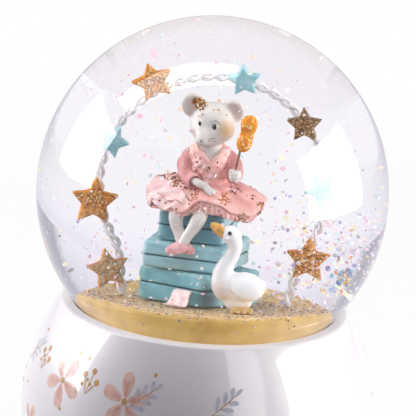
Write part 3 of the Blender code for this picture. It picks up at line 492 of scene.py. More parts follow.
def tube_into(bm, points, radii, sides=10):
    """A round bar with domed ends along points, in millimetres from the ball's middle."""
    points = [Vector(point) for point in points]
    side = Vector((0.3, 1.0, 0.2))
    rings = []
    for index, point in enumerate(points):
        along = points[min(index + 1, len(points) - 1)] - points[max(index - 1, 0)]
        side = (side - along * (side.dot(along) / along.length_squared)).normalized()
        other = along.normalized().cross(side)
        ring = []
        for i in range(sides):
            angle = 2 * math.pi * i / sides
            offset = (side * math.cos(angle) + other * math.sin(angle)) * radii[index]
            ring.append(bm.verts.new(at(point + offset)))
        rings.append(ring)
    for end, inward, radius in ((0, 1, radii[0]), (-1, -2, radii[-1])):
        outward = (points[end] - points[inward]).normalized()
        tip = bm.verts.new(at(points[end] + outward * radius * 0.6))
        rings.insert(0 if end == 0 else len(rings), [tip])
    bridge(bm, rings)


def tube(points, radius, sides=10):
    bm = bmesh.new()
    tube_into(bm, points, [radius] * len(points), sides)
    return mesh_of(bm)


# Distance fields for the modelled figures

def rotation(turn):
    return np.array(Euler([math.radians(angle) for angle in turn]).to_matrix(), dtype=np.float32)


def ellipsoid(p, centre, radii, turn=None):
    q = p - np.array(centre, dtype=np.float32)
    if turn:
        q = q @ rotation(turn)
    radii = np.array(radii, dtype=np.float32)
    near = np.linalg.norm(q / radii, axis=-1)
    steep = np.linalg.norm(q / radii ** 2, axis=-1)
    return near * (near - 1.0) / np.maximum(steep, 1e-6)


def rounded_box(p, centre, half, corner, turn):
    core = np.array(half, dtype=np.float32) - corner
    q = np.abs((p - np.array(centre, dtype=np.float32)) @ rotation(turn)) - core
    return np.linalg.norm(np.maximum(q, 0), axis=-1) + np.minimum(q.max(axis=-1), 0) - corner


def smooth_min(a, b, blend):
    share = np.clip(0.5 + 0.5 * (b - a) / blend, 0.0, 1.0)
    return b * (1 - share) + a * share - blend * share * (1 - share)


def carve(a, b, blend):
    """The first form without the second."""
    return -smooth_min(-a, b, blend)


def join(blend, *fields):
    whole = fields[0]
    for field in fields[1:]:
        whole = smooth_min(whole, field, blend)
    return whole


def limb(p, stations, blend=0.3, per_span=3):
    """A round form through stations of (x, y, z, radius)."""
    route = [np.array(station, dtype=np.float32) for station in smooth_path(stations, per_span)]
    whole = None
    for a, b in zip(route, route[1:]):
        along = b[:3] - a[:3]
        t = np.clip(((p - a[:3]) @ along) / max(float(along @ along), 1e-6), 0.0, 1.0)
        gap = np.linalg.norm(p - a[:3] - t[..., None] * along, axis=-1) - (a[3] + (b[3] - a[3]) * t)
        whole = gap if whole is None else smooth_min(whole, gap, blend)
    return whole


def sculpt(field, low, high, cell=0.2, rounds=3):
    """Mesh of the surface where a distance field over a box is zero."""
    low = np.array(low, dtype=np.float32)
    counts = np.ceil((np.array(high) - low) / cell).astype(int) + 1
    axes = [low[i] + cell * np.arange(counts[i], dtype=np.float32) for i in range(3)]
    values = field(np.stack(np.meshgrid(*axes, indexing="ij"), axis=-1))
    grid = openvdb.FloatGrid(cell)
    grid.copyFromArray(values.astype(np.float32))
    points, quads = grid.convertToQuads(0.0)
    mesh = bpy.data.meshes.new("sculpt")
    places = (low + points * cell + np.array((0, 0, BALL_Z))) * MM
    mesh.from_pydata(places.tolist(), [], quads.tolist())
    bm = bmesh.new()
    bm.from_mesh(mesh)
    for _ in range(rounds):
        bmesh.ops.smooth_vert(bm, verts=bm.verts, factor=0.5,
                              use_axis_x=True, use_axis_y=True, use_axis_z=True)
    bpy.data.meshes.remove(mesh)
    return mesh_of(bm)


def paint_points(mesh, name, value):
    """Store a number at every point of a mesh; value takes places from the ball's middle."""
    places = np.zeros(len(mesh.vertices) * 3, dtype=np.float32)
    mesh.vertices.foreach_get("co", places)
    places = places.reshape(-1, 3) / MM - np.array((0, 0, BALL_Z))
    attribute = mesh.attributes.new(name, "FLOAT", "POINT")
    attribute.data.foreach_set("value", np.clip(value(places), 0, 1).astype(np.float32))


def tree_of(*objects):
    """A search tree over the objects' faces, in metres."""
    verts, faces = [], []
    for obj in objects:
        start = len(verts)
        verts += [vert.co.copy() for vert in obj.data.vertices]
        faces += [[start + index for index in face.vertices] for face in obj.data.polygons]
    return BVHTree.FromPolygons(verts, faces)


def seen_along(tree, start, way):
    """Place from the ball's middle and outward direction where a line first meets a form."""
    place, normal, _, _ = tree.ray_cast(at(start), way)
    return (place / MM - Vector((0, 0, BALL_Z)), normal) if place else None


def seen_from_front(tree, x, z):
    return seen_along(tree, (x, -FAR_OFF, z), Vector((0, 1, 0)))


def seen_from_camera(tree, spots):
    """Where the camera, far off, first sees a form at spots across and up."""
    starts = [CAMERA_RIGHT * across + CAMERA_UP * up + CAMERA_BACK * FAR_OFF for across, up in spots]
    return [hit for hit in (seen_along(tree, start, -CAMERA_BACK) for start in starts) if hit]


# Ball, sand and base

def make_ball():
    inner_r = BALL_R - GLASS
    bore_r = NECK_R - GLASS
    outside = arc((0, BALL_Z), BALL_R, 90, math.degrees(-math.acos(NECK_R / BALL_R)), 64)
    inside = arc((0, BALL_Z), inner_r, math.degrees(-math.acos(bore_r / inner_r)), 90, 64)
    outside[0] = (0, BALL_Z + BALL_R)
    inside[-1] = (0, BALL_Z + inner_r)
    mesh = turned(outside + [(NECK_R, NECK_END_Z), (bore_r, NECK_END_Z)] + inside, 160)
    middle = Vector((0, 0, BALL_Z))
    for face in mesh.polygons:
        centre = face.center / MM
        wet = face.normal.dot(centre - middle) < 0
        face.material_index = int(wet)
    finishes = [clear_glass("glass", GLASS_INDEX), clear_glass("glass_to_liquid", GLASS_INDEX / LIQUID_INDEX)]
    return finished("glass_ball", mesh, finishes, ["glass_globe"], CRISP)


def make_sand():
    edge_r = 1.9
    edge = arc((SAND_R - edge_r, SAND_TOP_Z - edge_r), edge_r, 90, 0, 8)
    reach = [edge[0][0] * (i / 60) ** 0.8 for i in range(1, 60)]
    wall_top = SAND_TOP_Z - edge_r
    wall = SAND_LOW_Z - SAND_TOP_Z + edge_r
    walls = [(SAND_R, wall_top + wall * i / 20) for i in range(1, 21)]
    profile = [(0, SAND_TOP_Z)] + [(r, SAND_TOP_Z) for r in reach] + edge + walls + [(0, SAND_LOW_Z)]
    mesh = turned(profile, 180)
    for vert in mesh.vertices:
        x, y, z = vert.co / MM
        if z > SAND_TOP_Z - edge_r / 2:
            swirl = math.sin(1.9 * y + 0.5 * math.sin(0.4 * x)) + 0.6 * math.sin(3.3 * y + 0.7 * x + 1.0)
            mound = min(1.0, max(0.0, (y - 4.0) / 20.0))
            vert.co.z += (0.05 * swirl - 0.08 + 1.5 * mound * mound * (3 - 2 * mound)) * MM
        elif z > SAND_LOW_Z + 0.5:
            angle = math.atan2(y, x)
            vert.co.z += 0.12 * math.sin(5 * angle) * math.sin(3 * angle + 1.0) * MM
    return finished("sand_bed", mesh, [sand_coat()], ["sand_disc"], CRISP)


def base_radius(z):
    """Outer radius of the base at a height."""
    return BASE_ARC_AXIS + math.sqrt(BASE_ARC_R ** 2 - (z - BASE_ARC_Z) ** 2)


def make_base():
    seat_r = math.sqrt(BALL_R ** 2 - (BALL_Z - BASE_RIM_Z) ** 2) + 0.15
    lip = 1.3
    foot = 2.5
    top_z = BASE_RIM_Z - 0.48 * lip
    low_z = BASE_LOW_Z + foot
    heights = [top_z + (low_z - top_z) * i / 60 for i in range(61)]
    belly = [(base_radius(z), z) for z in heights]
    slope = math.asin((top_z - BASE_ARC_Z) / BASE_ARC_R)
    lip_at = (base_radius(top_z) - lip * math.cos(slope), top_z - lip * math.sin(slope))
    rim = [(seat_r, BASE_RIM_Z - 0.3), (seat_r + 0.3, BASE_RIM_Z)]
    rim += arc(lip_at, lip, 88, math.degrees(slope) + 6, 8)
    edge = arc((base_radius(low_z) - foot, low_z), foot, -8, -90, 8)
    mouth_r = 42.2
    ledge_r = 38.0
    ledge_z = 12.3
    roof_z = 35.8
    cavity = [(mouth_r + 0.4, BASE_LOW_Z), (mouth_r, BASE_LOW_Z + 0.4), (mouth_r, ledge_z),
              (ledge_r, ledge_z), (ledge_r, 15.5), *arc((33.0, 25.5), 12.0, -35, 45, 8),
              (36.0, roof_z), (0, roof_z)]
    recess_r = NECK_R + 1.0
    recess_z = 38.0
    recess = [(0, recess_z), (recess_r, recess_z), (recess_r, 47.6)]
    mesh = turned(recess + rim + belly + edge + cavity, 160)
    return finished("white_base", mesh, [base_glaze()], ["base_shell"], CRISP)


def on_base(u, z, lift):
    """A place on the base's side; u is a distance round it, from the front, at the band's radius."""
    angle = u / base_radius(BASE_ARC_Z) - math.pi / 2
    radius = base_radius(z) + lift
    return metres((radius * math.cos(angle), radius * math.sin(angle), z))


def decal_into(bm, outline, centre, lift=0.05):
    """A thin raised patch of print: an outline of (u, z) filled in rings about its centre."""
    shares = (0.0, 0.4, 0.75, 1.0)
    rings = []
    for share in shares:
        places = [(centre[0] + (u - centre[0]) * share, centre[1] + (z - centre[1]) * share)
                  for u, z in outline]
        if share == 0.0:
            places = places[:1]
        rings.append([bm.verts.new(on_base(u, z, lift)) for u, z in places])
    rings.append([bm.verts.new(on_base(u, z, -lift)) for u, z in outline])
    rings.append([bm.verts.new(on_base(*centre, -lift))])
    bridge(bm, rings)


def petal(root, angle, length, width, count=14):
    """Outline and middle of a rounded petal or leaf that grows from a root."""
    along = Vector((math.cos(angle), math.sin(angle)))
    across = Vector((-along.y, along.x))
    outline = []
    for i in range(count):
        t = 2 * math.pi * i / count
        reach = 0.5 - 0.5 * math.cos(t)
        swell = math.sin(t) * (0.45 + 0.55 * reach)
        outline.append(Vector(root) + along * length * reach + across * width * 0.5 * swell)
    return outline, Vector(root) + along * length * 0.55


def dot(centre, radius):
    angles = [math.pi * i / 5 for i in range(10)]
    outline = [(centre[0] + radius * math.cos(a), centre[1] + radius * math.sin(a)) for a in angles]
    return outline, centre


def blossom_into(petals, veins, hearts, u, z, size, turn):
    """A five-petalled blossom on the base."""
    for leaf in range(5):
        angle = math.radians(90 + 72 * leaf + turn)
        way = Vector((math.cos(angle), math.sin(angle)))
        middle = Vector((u, z))
        decal_into(petals, *petal(middle + way * 0.9, angle, size, size * 0.74))
        for lean in (-0.22, 0.0, 0.22):
            decal_into(veins, *petal(middle + way * 1.3, angle + lean, size * 0.62, 0.34, 8), lift=0.08)
    decal_into(hearts, *dot((u, z), 0.9), lift=0.08)


def sprig_into(leaves, stems, u, z, size, turn):
    """A leaf sprig on the base: a stem with leaves to both sides."""
    lean = math.radians(turn)
    way = Vector((math.cos(lean), math.sin(lean)))
    decal_into(stems, *petal((u, z), lean, size, 0.36, 10), lift=0.08)
    for leaf in range(6):
        root = Vector((u, z)) + way * size * (0.18 + 0.13 * leaf)
        angle = lean + math.radians(42 if leaf % 2 else -42)
        decal_into(leaves, *petal(root, angle, size * (0.42 - 0.03 * leaf), size * 0.15))
    decal_into(leaves, *petal(Vector((u, z)) + way * size * 0.9, lean, size * 0.3, size * 0.12))


def berries_into(dots, stems, u, z, turn):
    """A twig of small berries on the base."""
    for lean, length in ((-34, 4.4), (-6, 6.0), (26, 4.8)):
        angle = math.radians(turn + lean)
        way = Vector((math.cos(angle), math.sin(angle)))
        decal_into(stems, *petal((u, z), angle, length, 0.42, 10))
        decal_into(dots, *dot(Vector((u, z)) + way * (length + 0.5), 0.85), lift=0.08)
        decal_into(dots, *dot(Vector((u, z)) + way * length * 0.6 + Vector((-way.y, way.x)) * 1.2, 0.55))


# Single berries of each group of print: distance round the base and height
BERRIES = ((8.0, 45.5), (-20.0, 46.0), (19.0, 31.0), (-8.0, 15.0), (10.0, 14.5), (-22.0, 30.0))
# Where the groups of print stand, as shares of a turn from the front
PRINT_SHARES = (-0.066, 0.31, 0.5, 0.70, 0.86)


def make_print():
    """Plain blossoms, leaf sprigs and berries in a loose band round the base."""
    turn = 2 * math.pi * base_radius(BASE_ARC_Z)
    pink, rose, gold, grey = bmesh.new(), bmesh.new(), bmesh.new(), bmesh.new()
    for number, share in enumerate(PRINT_SHARES):
        u = share * turn
        blossom_into(pink, rose, gold, u, 37.5, 6.8, 9 * number)
        blossom_into(pink, rose, gold, u - 14.0, 21.0, 4.8, 20 + 7 * number)
        sprig_into(grey, gold, u + 24.0, 35.5, 11.0, 38)
        sprig_into(grey, gold, u + 3.5, 26.0, 9.0, -30)
        berries_into(gold, gold, u - 13.5, 36.5, 84)
        berries_into(gold, gold, u + 16.0, 22.5, 100)
        for across, z in BERRIES:
            decal_into(gold, *dot((u + across, z), 0.55))
    inks = ((pink, "print_petals", (232, 180, 166), (242, 204, 192), 0.35),
            (rose, "print_veins", (216, 146, 130), (226, 162, 146), 0.35),
            (gold, "print_gold", (190, 132, 62), (218, 164, 92), 0.25),
            (grey, "print_leaves", (190, 188, 202), (212, 210, 222), 0.3))
    coat = {"Coat Weight": 1.0, "Coat Roughness": 0.04}
    for bm, name, deep, light, roughness in inks:
        ink = painted(name, (deep, light, light), 2.0, roughness, 0.01, coat)
        finished(name, mesh_of(bm), [ink], (), CRISP)


# Boxes and ribbon

def square_ring(half, corner, count=6, along=14):
    """Points of a square with round corners, seen from above, with points along its sides."""
    points = []
    for quarter in range(4):
        start = 90 * quarter
        x = (half - corner) * (1 if quarter in (0, 3) else -1)
        y = (half - corner) * (1 if quarter in (0, 1) else -1)
        points += arc((x, y), corner, start, start + 90, count)
    dense = []
    for index, (a, b) in enumerate(zip(points, points[1:] + points[:1])):
        pieces = along if index % (count + 1) == count else 1
        dense += [(a[0] + (b[0] - a[0]) * i / pieces, a[1] + (b[1] - a[1]) * i / pieces)
                  for i in range(pieces)]
    return dense


def make_box(name, centre, angle, seam, finish):
    """A square box with soft edges and a groove where the lid meets the body."""
    low, high = span(name)
    low_z, high_z = low.z - BALL_Z, high.z - BALL_Z
    turn = math.radians(-angle)
    half = (high.x - low.x) / 2 / (math.cos(turn) + abs(math.sin(turn)))
    soft = 0.75
    groove = 0.16
    profile = [(soft * (1 - math.sin(a)), low_z + soft * (1 - math.cos(a)), 0.0)
               for a in (math.radians(15 * i) for i in range(7))]
    profile += [(0.0, low_z + (seam - low_z) * share, 0.0) for share in (0.4, 0.6, 0.8)]
    profile += [(0.0, seam - 2 * groove, 0.0), (0.1, seam - groove, 0.5), (0.5, seam, 1.0),
                (0.1, seam + groove, 0.5), (0.0, seam + 2 * groove, 0.0)]
    profile += [(0.0, seam + (high_z - seam) * share, 0.0) for share in (0.25, 0.45, 0.65)]
    profile += [(soft * (1 - math.cos(a)), high_z - soft * (1 - math.sin(a)), 0.0)
                for a in (math.radians(15 * i) for i in range(7))]
    bm = bmesh.new()
    rings = [[bm.verts.new(at((*centre, low_z)))]]
    seams, wears = [0.0], [0.0]
    corner = 1.0
    for inset, z, dark in profile:
        ring = []
        for x, y in square_ring(half - inset, corner):
            wave = 0.07 * math.sin(0.9 * x + 1.3 * z) + 0.06 * math.sin(1.1 * y - 0.8 * z + centre[0])
            place = Matrix.Rotation(turn, 2) @ Vector((x, y)) * (1 - wave / half)
            ring.append(bm.verts.new(at((place.x + centre[0], place.y + centre[1], z))))
            out = abs(abs(x) - abs(y)) / (2 * corner)
            on_edge = max(0.0, 1 - out, 1 - min(z - low_z, high_z - z) / soft)
            seams.append(dark)
            wears.append(on_edge * (1 - dark))
        rings.append(ring)
    rings.append([bm.verts.new(at((*centre, high_z)))])
    seams.append(0.0)
    wears.append(0.0)
    bridge(bm, rings)
    mesh = mesh_of(bm)
    for key, values in (("seam", seams), ("wear", wears)):
        mesh.attributes.new(key, "FLOAT", "POINT").data.foreach_set("value", values)
    return finished(f"{name}_painted", mesh, [finish], [name], CRISP)


LOWER_BOX_TURN = 39.6
# Boxes: node, middle, turn in degrees, height of the seam, finish with its deep and light tone; the upper
# box's finish is a darker copy of the teal as painted shade under the skirt, the middle box's a paler copy as
# painted light
BOXES = (("lower_box", (-1.5, 4.0), LOWER_BOX_TURN, -20.4, "box_teal", (90, 154, 168), (120, 182, 193)),
         ("middle_box", (-2.8, 4.0), 15.6, -14.0, "box_teal_painted_light", (130, 184, 196), (162, 208, 217)),
         ("upper_box", (-2.7, 4.0), 10.8, -7.4, "box_teal_painted_shade", (74, 130, 146), (102, 160, 174)))


def make_boxes():
    boxes = []
    for name, centre, angle, seam, finish, deep, light in BOXES:
        boxes.append(make_box(name, centre, angle, seam, box_paint(finish, deep, light)))
    return boxes


def slab_faces(bm, tops, lows):
    """Close a slab between rows of vertices on its upper and on its lower face."""
    outline = [top + list(reversed(low)) for top, low in zip(tops, lows)]
    bridge(bm, outline)
    bm.faces.new(outline[0])
    bm.faces.new(outline[-1])


def make_ribbon():
    """A strip of cloth that hangs out of the lowest box on to the sand."""
    strip = [(0.3, -20.7), (-0.7, -20.8), (-1.5, -21.7), (-2.0, -22.9), (-2.9, -23.75), (-4.3, -23.8)]
    route = smooth_path(strip, 5)
    turn = Matrix.Rotation(math.radians(-LOWER_BOX_TURN), 3, "Z")
    columns = 22
    bm = bmesh.new()
    rings = []
    for thickness in (0.22, -0.22):
        for index, point in enumerate(route):
            share = index / (len(route) - 1)
            row = []
            for column in range(columns + 1):
                across = 2 * column / columns - 1
                fold = 0.11 * math.sin(6 * across + 0.7) * (0.3 + share)
                x = 2.1 * (1 + 0.3 * share) * across + 0.3 * share
                depth = point.x - fold - thickness * 0.6
                height = point.y + thickness * 0.6 + 0.3 * fold
                place = turn @ Vector((x, depth, height))
                row.append(bm.verts.new(at(place + Vector((-4.4, -6.2, 0)))))
            rings.append(row)
    slab_faces(bm, rings[:len(route)], rings[len(route):])
    cloth = painted("ribbon_cloth", ((240, 196, 198), (248, 222, 220), (253, 242, 240)), 1.4, 0.55, 0.03)
    return finished("ribbon_strip", mesh_of(bm), [cloth], ["ribbon"], CRISP)


# Mouse

# Height of the skirt's hem and of the frill under it, by degrees round the waist
HEM = ((0, -0.6), (25, -0.2), (60, 0.2), (90, 0.8), (120, 1.5), (148, 1.6), (170, -0.6), (190, -2.6),
       (205, -1.5), (219, -2.4), (231, -1.4), (244, -2.6), (264, 0.6), (282, 0.0), (302, -2.2),
       (322, -2.7), (342, -1.6))
FRILL = ((0, -2.3), (25, -1.5), (60, -1.1), (90, -0.5), (120, 0.1), (148, 0.2), (170, -1.9), (190, -3.5),
         (215, -3.0), (230, -3.1), (243, -3.7), (264, -2.4), (282, -2.7), (302, -3.9), (322, -4.5),
         (342, -3.4))
# Deep folds of the skirt: degrees round the waist, width in degrees and depth
FOLDS = ((158, 5.0, 0.5), (176, 5.0, 0.8), (198, 6.0, 0.7), (226, 6.0, 0.9), (340, 9.0, 0.25))


def around(table, angle):
    """Value of a table of (degrees, value) that runs round a circle, smooth between its entries."""
    turn = math.degrees(angle) % 360
    entries = [*table, (table[0][0] + 360, table[0][1])]
    for (start, first), (end, second) in zip(entries, entries[1:]):
        if turn <= end:
            share = (turn - start) / (end - start)
            return first + (second - first) * share * share * (3 - 2 * share)
    return table[0][1]


def skirt_place(reach, angle):
    """A place on the skirt's upper face; reach runs from 0 at the waist to 1 at the hem."""
    scallop = 1 + 0.02 * math.sin(9 * angle + 1.0) * reach
    x = (1.9 + 10.9 * reach * scallop) * math.cos(angle)
    y = (1.7 + 7.9 * reach * scallop) * math.sin(angle)
    fall = (around(HEM, angle) - MOUSE_WAIST[2]) * max(reach, 0.0) ** 1.35
    puff = 0.45 * math.sin(math.pi * reach) + 0.10 * math.sin(13 * angle + 2.0) * reach * (1 - reach) * 4
    for turn, width, depth in FOLDS:
        off = (math.degrees(angle) - turn + 180) % 360 - 180
        puff -= depth * math.exp(-(off / width) ** 2) * min(1.0, 1.4 * max(reach, 0.0))
    return Vector((x + MOUSE_WAIST[0], y + MOUSE_WAIST[1], MOUSE_WAIST[2] + fall + puff))


def frill_place(reach, angle):
    """A place on the gathered frill that hangs from the hem."""
    top = skirt_place(0.94, angle)
    gather = math.sin(64 * angle + 2.0 * math.sin(3 * angle))
    swing = 0.17 * gather * (0.35 + 0.65 * reach) + 0.3 * reach - 0.25
    place = top + Vector((math.cos(angle), math.sin(angle), 0)) * swing
    place.z = top.z - 0.3 + (around(FRILL, angle) + 0.12 * gather - top.z + 0.3) * reach
    return place


# Step for finding the slope of a surface
TINY = 0.01


def lift_of(surface, reach, angle):
    """Direction away from the upper face of a surface of (reach, angle)."""
    down = surface(reach + TINY, angle) - surface(reach - TINY, angle)
    along = surface(reach, angle + TINY) - surface(reach, angle - TINY)
    return down.cross(along).normalized()


def cloth_shell(surface, thickness, rows=20, sides=216):
    """A closed shell under a surface of (reach, angle), with a round hem."""
    bm = bmesh.new()
    angles = [2 * math.pi * i / sides for i in range(sides)]
    upper, lower = [], []
    for row in range(rows + 1):
        reach = row / rows
        top_ring, low_ring = [], []
        for a in angles:
            place = surface(reach, a)
            top_ring.append(bm.verts.new(at(place)))
            low_ring.append(bm.verts.new(at(place - lift_of(surface, reach, a) * thickness)))
        upper.append(top_ring)
        lower.insert(0, low_ring)
    hem = []
    for a in angles:
        down = (surface(1.0, a) - surface(1.0 - TINY, a)).normalized()
        along = surface(1.0, a + TINY) - surface(1.0, a - TINY)
        normal = down.cross(along).normalized()
        hem.append(bm.verts.new(at(surface(1.0, a) - normal * thickness / 2 + down * thickness * 0.4)))
    bridge(bm, upper + [hem] + lower, closed=True)
    return mesh_of(bm)


def skirt_tier(start, end, inner, outer, lift, waves):
    """A short ruffled layer over the skirt between two angles in degrees, from an inner to an outer reach."""
    columns = 60
    rows = 12
    thickness = 0.4
    bm = bmesh.new()
    tops, lows = [], []
    for row in range(rows + 1):
        share = row / rows
        reach = inner + (outer - inner) * share
        top, low = [], []
        for column in range(columns + 1):
            along = column / columns
            angle = math.radians(start + (end - start) * along)
            ends = math.sin(math.pi * along) ** 0.5
            normal = lift_of(skirt_place, reach, angle)
            ruffle = 0.3 * math.sin(waves * math.pi * along + 0.6) * share ** 2
            height = (lift * share ** 1.5 + ruffle) * ends + 0.3 * ends - 0.2
            place = skirt_place(reach, angle) + normal * height
            top.append(bm.verts.new(at(place)))
            low.append(bm.verts.new(at(place - normal * thickness)))
        tops.append(top)
        lows.append(low)
    slab_faces(bm, tops, lows)
    return mesh_of(bm)


def bodice_field(p):
    x, y, z = p[..., 0], p[..., 1], p[..., 2]
    flat = p * np.array((1.0, 1.12, 1.0), dtype=np.float32)
    trunk = limb(flat, [(-1.3, -0.9, 2.2, 3.7), (-1.3, -0.9, 4.2, 3.9), (-1.3, -0.8, 6.6, 4.4),
                        (-1.2, -0.7, 8.7, 3.7)], 0.6)
    shoulders = limb(p, [(-4.6, -0.6, 8.4, 1.7), (-1.2, -0.5, 9.3, 1.9), (2.0, -0.6, 8.7, 1.7)], 0.6)
    trunk = smooth_min(trunk, shoulders, 1.2)
    neckline = np.maximum((7.4 + 1.25 * np.abs(x + 0.9) - z) * 0.62, y + 0.6)
    open_top = ellipsoid(p, (-1.3, -1.0, 11.6), (3.0, 2.9, 2.6))
    trunk = carve(carve(trunk, neckline, 0.25), open_top, 0.3)
    gathers = 0.14 * np.sin(2.6 * x + 0.9 * z) * np.clip((6.0 - z) / 3.0, 0, 1)
    rumples = 0.16 * np.sin(2.6 * x + 1.1 * z) * np.sin(2.3 * z - 0.8 * x + 0.5)
    rumples = rumples * np.clip((z - 3.0) / 2.0, 0, 1)
    beside = np.clip((-0.9 - x) / 1.2, 0, 1) * np.clip((z - 3.6) / 1.5, 0, 1) * np.clip((9.0 - z) / 1.2, 0, 1)
    rumples = rumples + 0.26 * np.sin(3.7 * x + 0.6 * np.sin(2.1 * z)) * np.sin(3.1 * z + 0.4) * beside
    collars = ([(-4.4, -2.4, 10.1, 0.5), (-2.9, -3.9, 9.2, 0.5), (-0.9, -4.7, 7.2, 0.5)],
               [(2.4, -2.4, 10.3, 0.5), (0.9, -3.9, 9.3, 0.5), (-0.9, -4.6, 7.2, 0.5)])
    collar = join(0.4, *(limb(p, stations, 0.3) for stations in collars))
    return smooth_min(trunk + gathers + rumples, collar, 0.35)


# Ears: middle, lean to the side and turn, in degrees
EARS = (((-5.6, 0.3, 19.2), -28.0, 12.0), ((2.9, 0.3, 18.2), 44.0, -14.0))
EAR_SIZE = (2.65, 1.0, 3.05)


def head_field(p):
    skull = ellipsoid(p, (-1.1, -0.6, 16.4), (4.55, 4.2, 3.95))
    jowls = ellipsoid(p, (-1.0, -1.3, 14.7), (4.95, 4.1, 3.5))
    snout = limb(p, [(-2.0, -3.0, 14.0, 2.6), (-2.9, -4.7, 13.4, 1.8), (-3.3, -5.6, 13.2, 1.15)], 0.5)
    head = smooth_min(smooth_min(skull, jowls, 1.0), snout, 1.3)
    brow = ellipsoid(p, (-1.9, -5.7, 16.4), (2.4, 1.0, 1.0))
    head = carve(head, brow, 0.9)
    for centre, lean, spin in EARS:
        head = smooth_min(head, ear_field(p, centre, lean, spin), 1.0)
    neck = limb(p, [(-1.4, -0.7, 12.0, 2.5), (-1.2, -1.2, 9.6, 2.3), (-0.9, -2.2, 7.6, 1.6)], 0.6)
    return smooth_min(head, neck, 0.8)


def ear_field(p, centre, lean, spin):
    rim = ellipsoid(p, centre, EAR_SIZE, (0, lean, spin))
    hollow = ellipsoid(p, (centre[0], centre[1] - 1.15, centre[2] + 0.15), (2.0, 0.95, 2.35), (0, lean, spin))
    return carve(rim, hollow, 0.35)


def ear_shade(places):
    """How deep a place lies in the hollow of an ear, from 0 to 1."""
    shade = np.zeros(len(places))
    for centre, lean, spin in EARS:
        dip = (centre[0], centre[1] - 0.9, centre[2] + 0.1)
        hollow = ellipsoid(places, dip, (2.15, 0.95, 2.45), (0, lean, spin))
        shade = np.maximum(shade, np.clip(0.55 - hollow * 1.4, 0, 1))
    return shade


SLEEVES = {"left": [(-4.9, -0.6, 8.4, 1.6), (-6.1, -1.2, 6.5, 1.75), (-5.9, -2.9, 4.4, 1.65),
                    (-4.9, -4.9, 3.7, 1.45), (-4.2, -6.0, 3.6, 1.55)],
           "right": [(2.0, -0.6, 8.8, 1.6), (3.7, -1.2, 7.1, 1.75), (4.5, -3.0, 5.4, 1.65),
                     (4.5, -4.8, 5.1, 1.45), (4.4, -5.7, 5.3, 1.5)]}
HANDS = {"left": [(-4.2, -6.0, 3.7, 0.8), (-2.8, -7.2, 3.4, 0.75), (-1.3, -7.9, 2.95, 0.62)],
         "right": [(4.4, -5.7, 5.3, 1.0), (4.7, -6.5, 5.5, 1.3), (4.5, -7.2, 6.3, 1.15)]}
FINGERS = {"left": ([(-1.4, -8.0, 3.0, 0.4), (0.0, -8.3, 2.5, 0.34), (0.9, -8.5, 2.2, 0.26)],
                    [(-1.5, -8.2, 2.8, 0.4), (-0.2, -8.7, 2.2, 0.34), (0.4, -8.9, 1.8, 0.26)],
                    [(-1.7, -8.3, 2.6, 0.38), (-0.9, -8.9, 2.0, 0.32), (-0.4, -9.1, 1.6, 0.25)],
                    [(-2.3, -7.4, 3.7, 0.36), (-1.3, -7.5, 3.7, 0.3)]),
           "right": ([(5.5, -7.0, 6.7, 0.5), (5.0, -8.0, 6.6, 0.5), (4.0, -8.3, 6.4, 0.42)],
                     [(5.5, -7.0, 6.0, 0.5), (5.0, -8.1, 5.8, 0.5), (4.0, -8.3, 5.7, 0.42)],
                     [(5.3, -6.9, 5.3, 0.5), (4.9, -7.8, 5.1, 0.46), (4.1, -8.0, 5.1, 0.4)],
                     [(3.6, -6.8, 6.6, 0.5), (3.7, -7.9, 7.1, 0.42)])}
LEGS = {"left": [(-7.2, -5.0, -1.8, 1.7), (-7.5, -6.9, -3.6, 1.6), (-7.5, -7.5, -5.4, 1.4),
                 (-6.6, -7.8, -8.2, 1.05), (-6.0, -7.9, -9.9, 0.95)],
        "right": [(-2.2, -6.6, -1.8, 1.7), (-2.5, -8.9, -3.5, 1.6), (-3.3, -9.6, -5.4, 1.4),
                  (-5.0, -10.1, -8.2, 1.05), (-5.9, -10.3, -9.9, 0.95)]}
SHOES = {"left": [(-6.0, -8.0, -10.4, 1.25), (-4.8, -8.6, -10.9, 1.2), (-3.7, -9.1, -11.4, 0.8)],
         "right": [(-5.8, -10.4, -10.4, 1.25), (-7.3, -10.9, -10.8, 1.2), (-8.8, -11.3, -11.2, 0.8)]}


def bounds_of(stations, margin=1.2):
    """A box round stations of (x, y, z, radius)."""
    places = np.array([station[:3] for station in stations])
    reach = max(station[3] for station in stations) + margin
    return places.min(axis=0) - reach, places.max(axis=0) + reach


def sleeve_field(stations):
    def field(p):
        arm = limb(p, stations, 0.5)
        creases = 0.13 * np.sin(2.4 * p[..., 2] - 1.3 * p[..., 1] + 0.7 * p[..., 0])
        cuff = np.array(stations[-1][:3], dtype=np.float32)
        before = np.array(stations[-2][:3], dtype=np.float32)
        along = (cuff - before) / np.linalg.norm(cuff - before)
        end = (p - cuff) @ along
        mouth = np.linalg.norm(p - cuff - end[..., None] * along, axis=-1) - 1.25
        return carve(carve(arm + creases, np.maximum(mouth, -end - 0.8), 0.2), 0.35 - end, 0.25)
    return field


def hand_field(side):
    def field(p):
        palm = limb(p, HANDS[side], 0.4)
        return join(0.22, palm, *[limb(p, finger, 0.2) for finger in FINGERS[side]])
    return field


def leg_field(side):
    def field(p):
        return limb(p, LEGS[side], 0.4)
    return field


def shoe_field(side):
    def field(p):
        ankle = np.array(SHOES[side][0][:3], dtype=np.float32)
        shoe = limb(p, SHOES[side], 0.4)
        collar = ellipsoid(p, ankle + np.array((0.1, 0.0, 1.25)), (1.0, 1.0, 0.75))
        return carve(shoe, collar, 0.25)
    return field


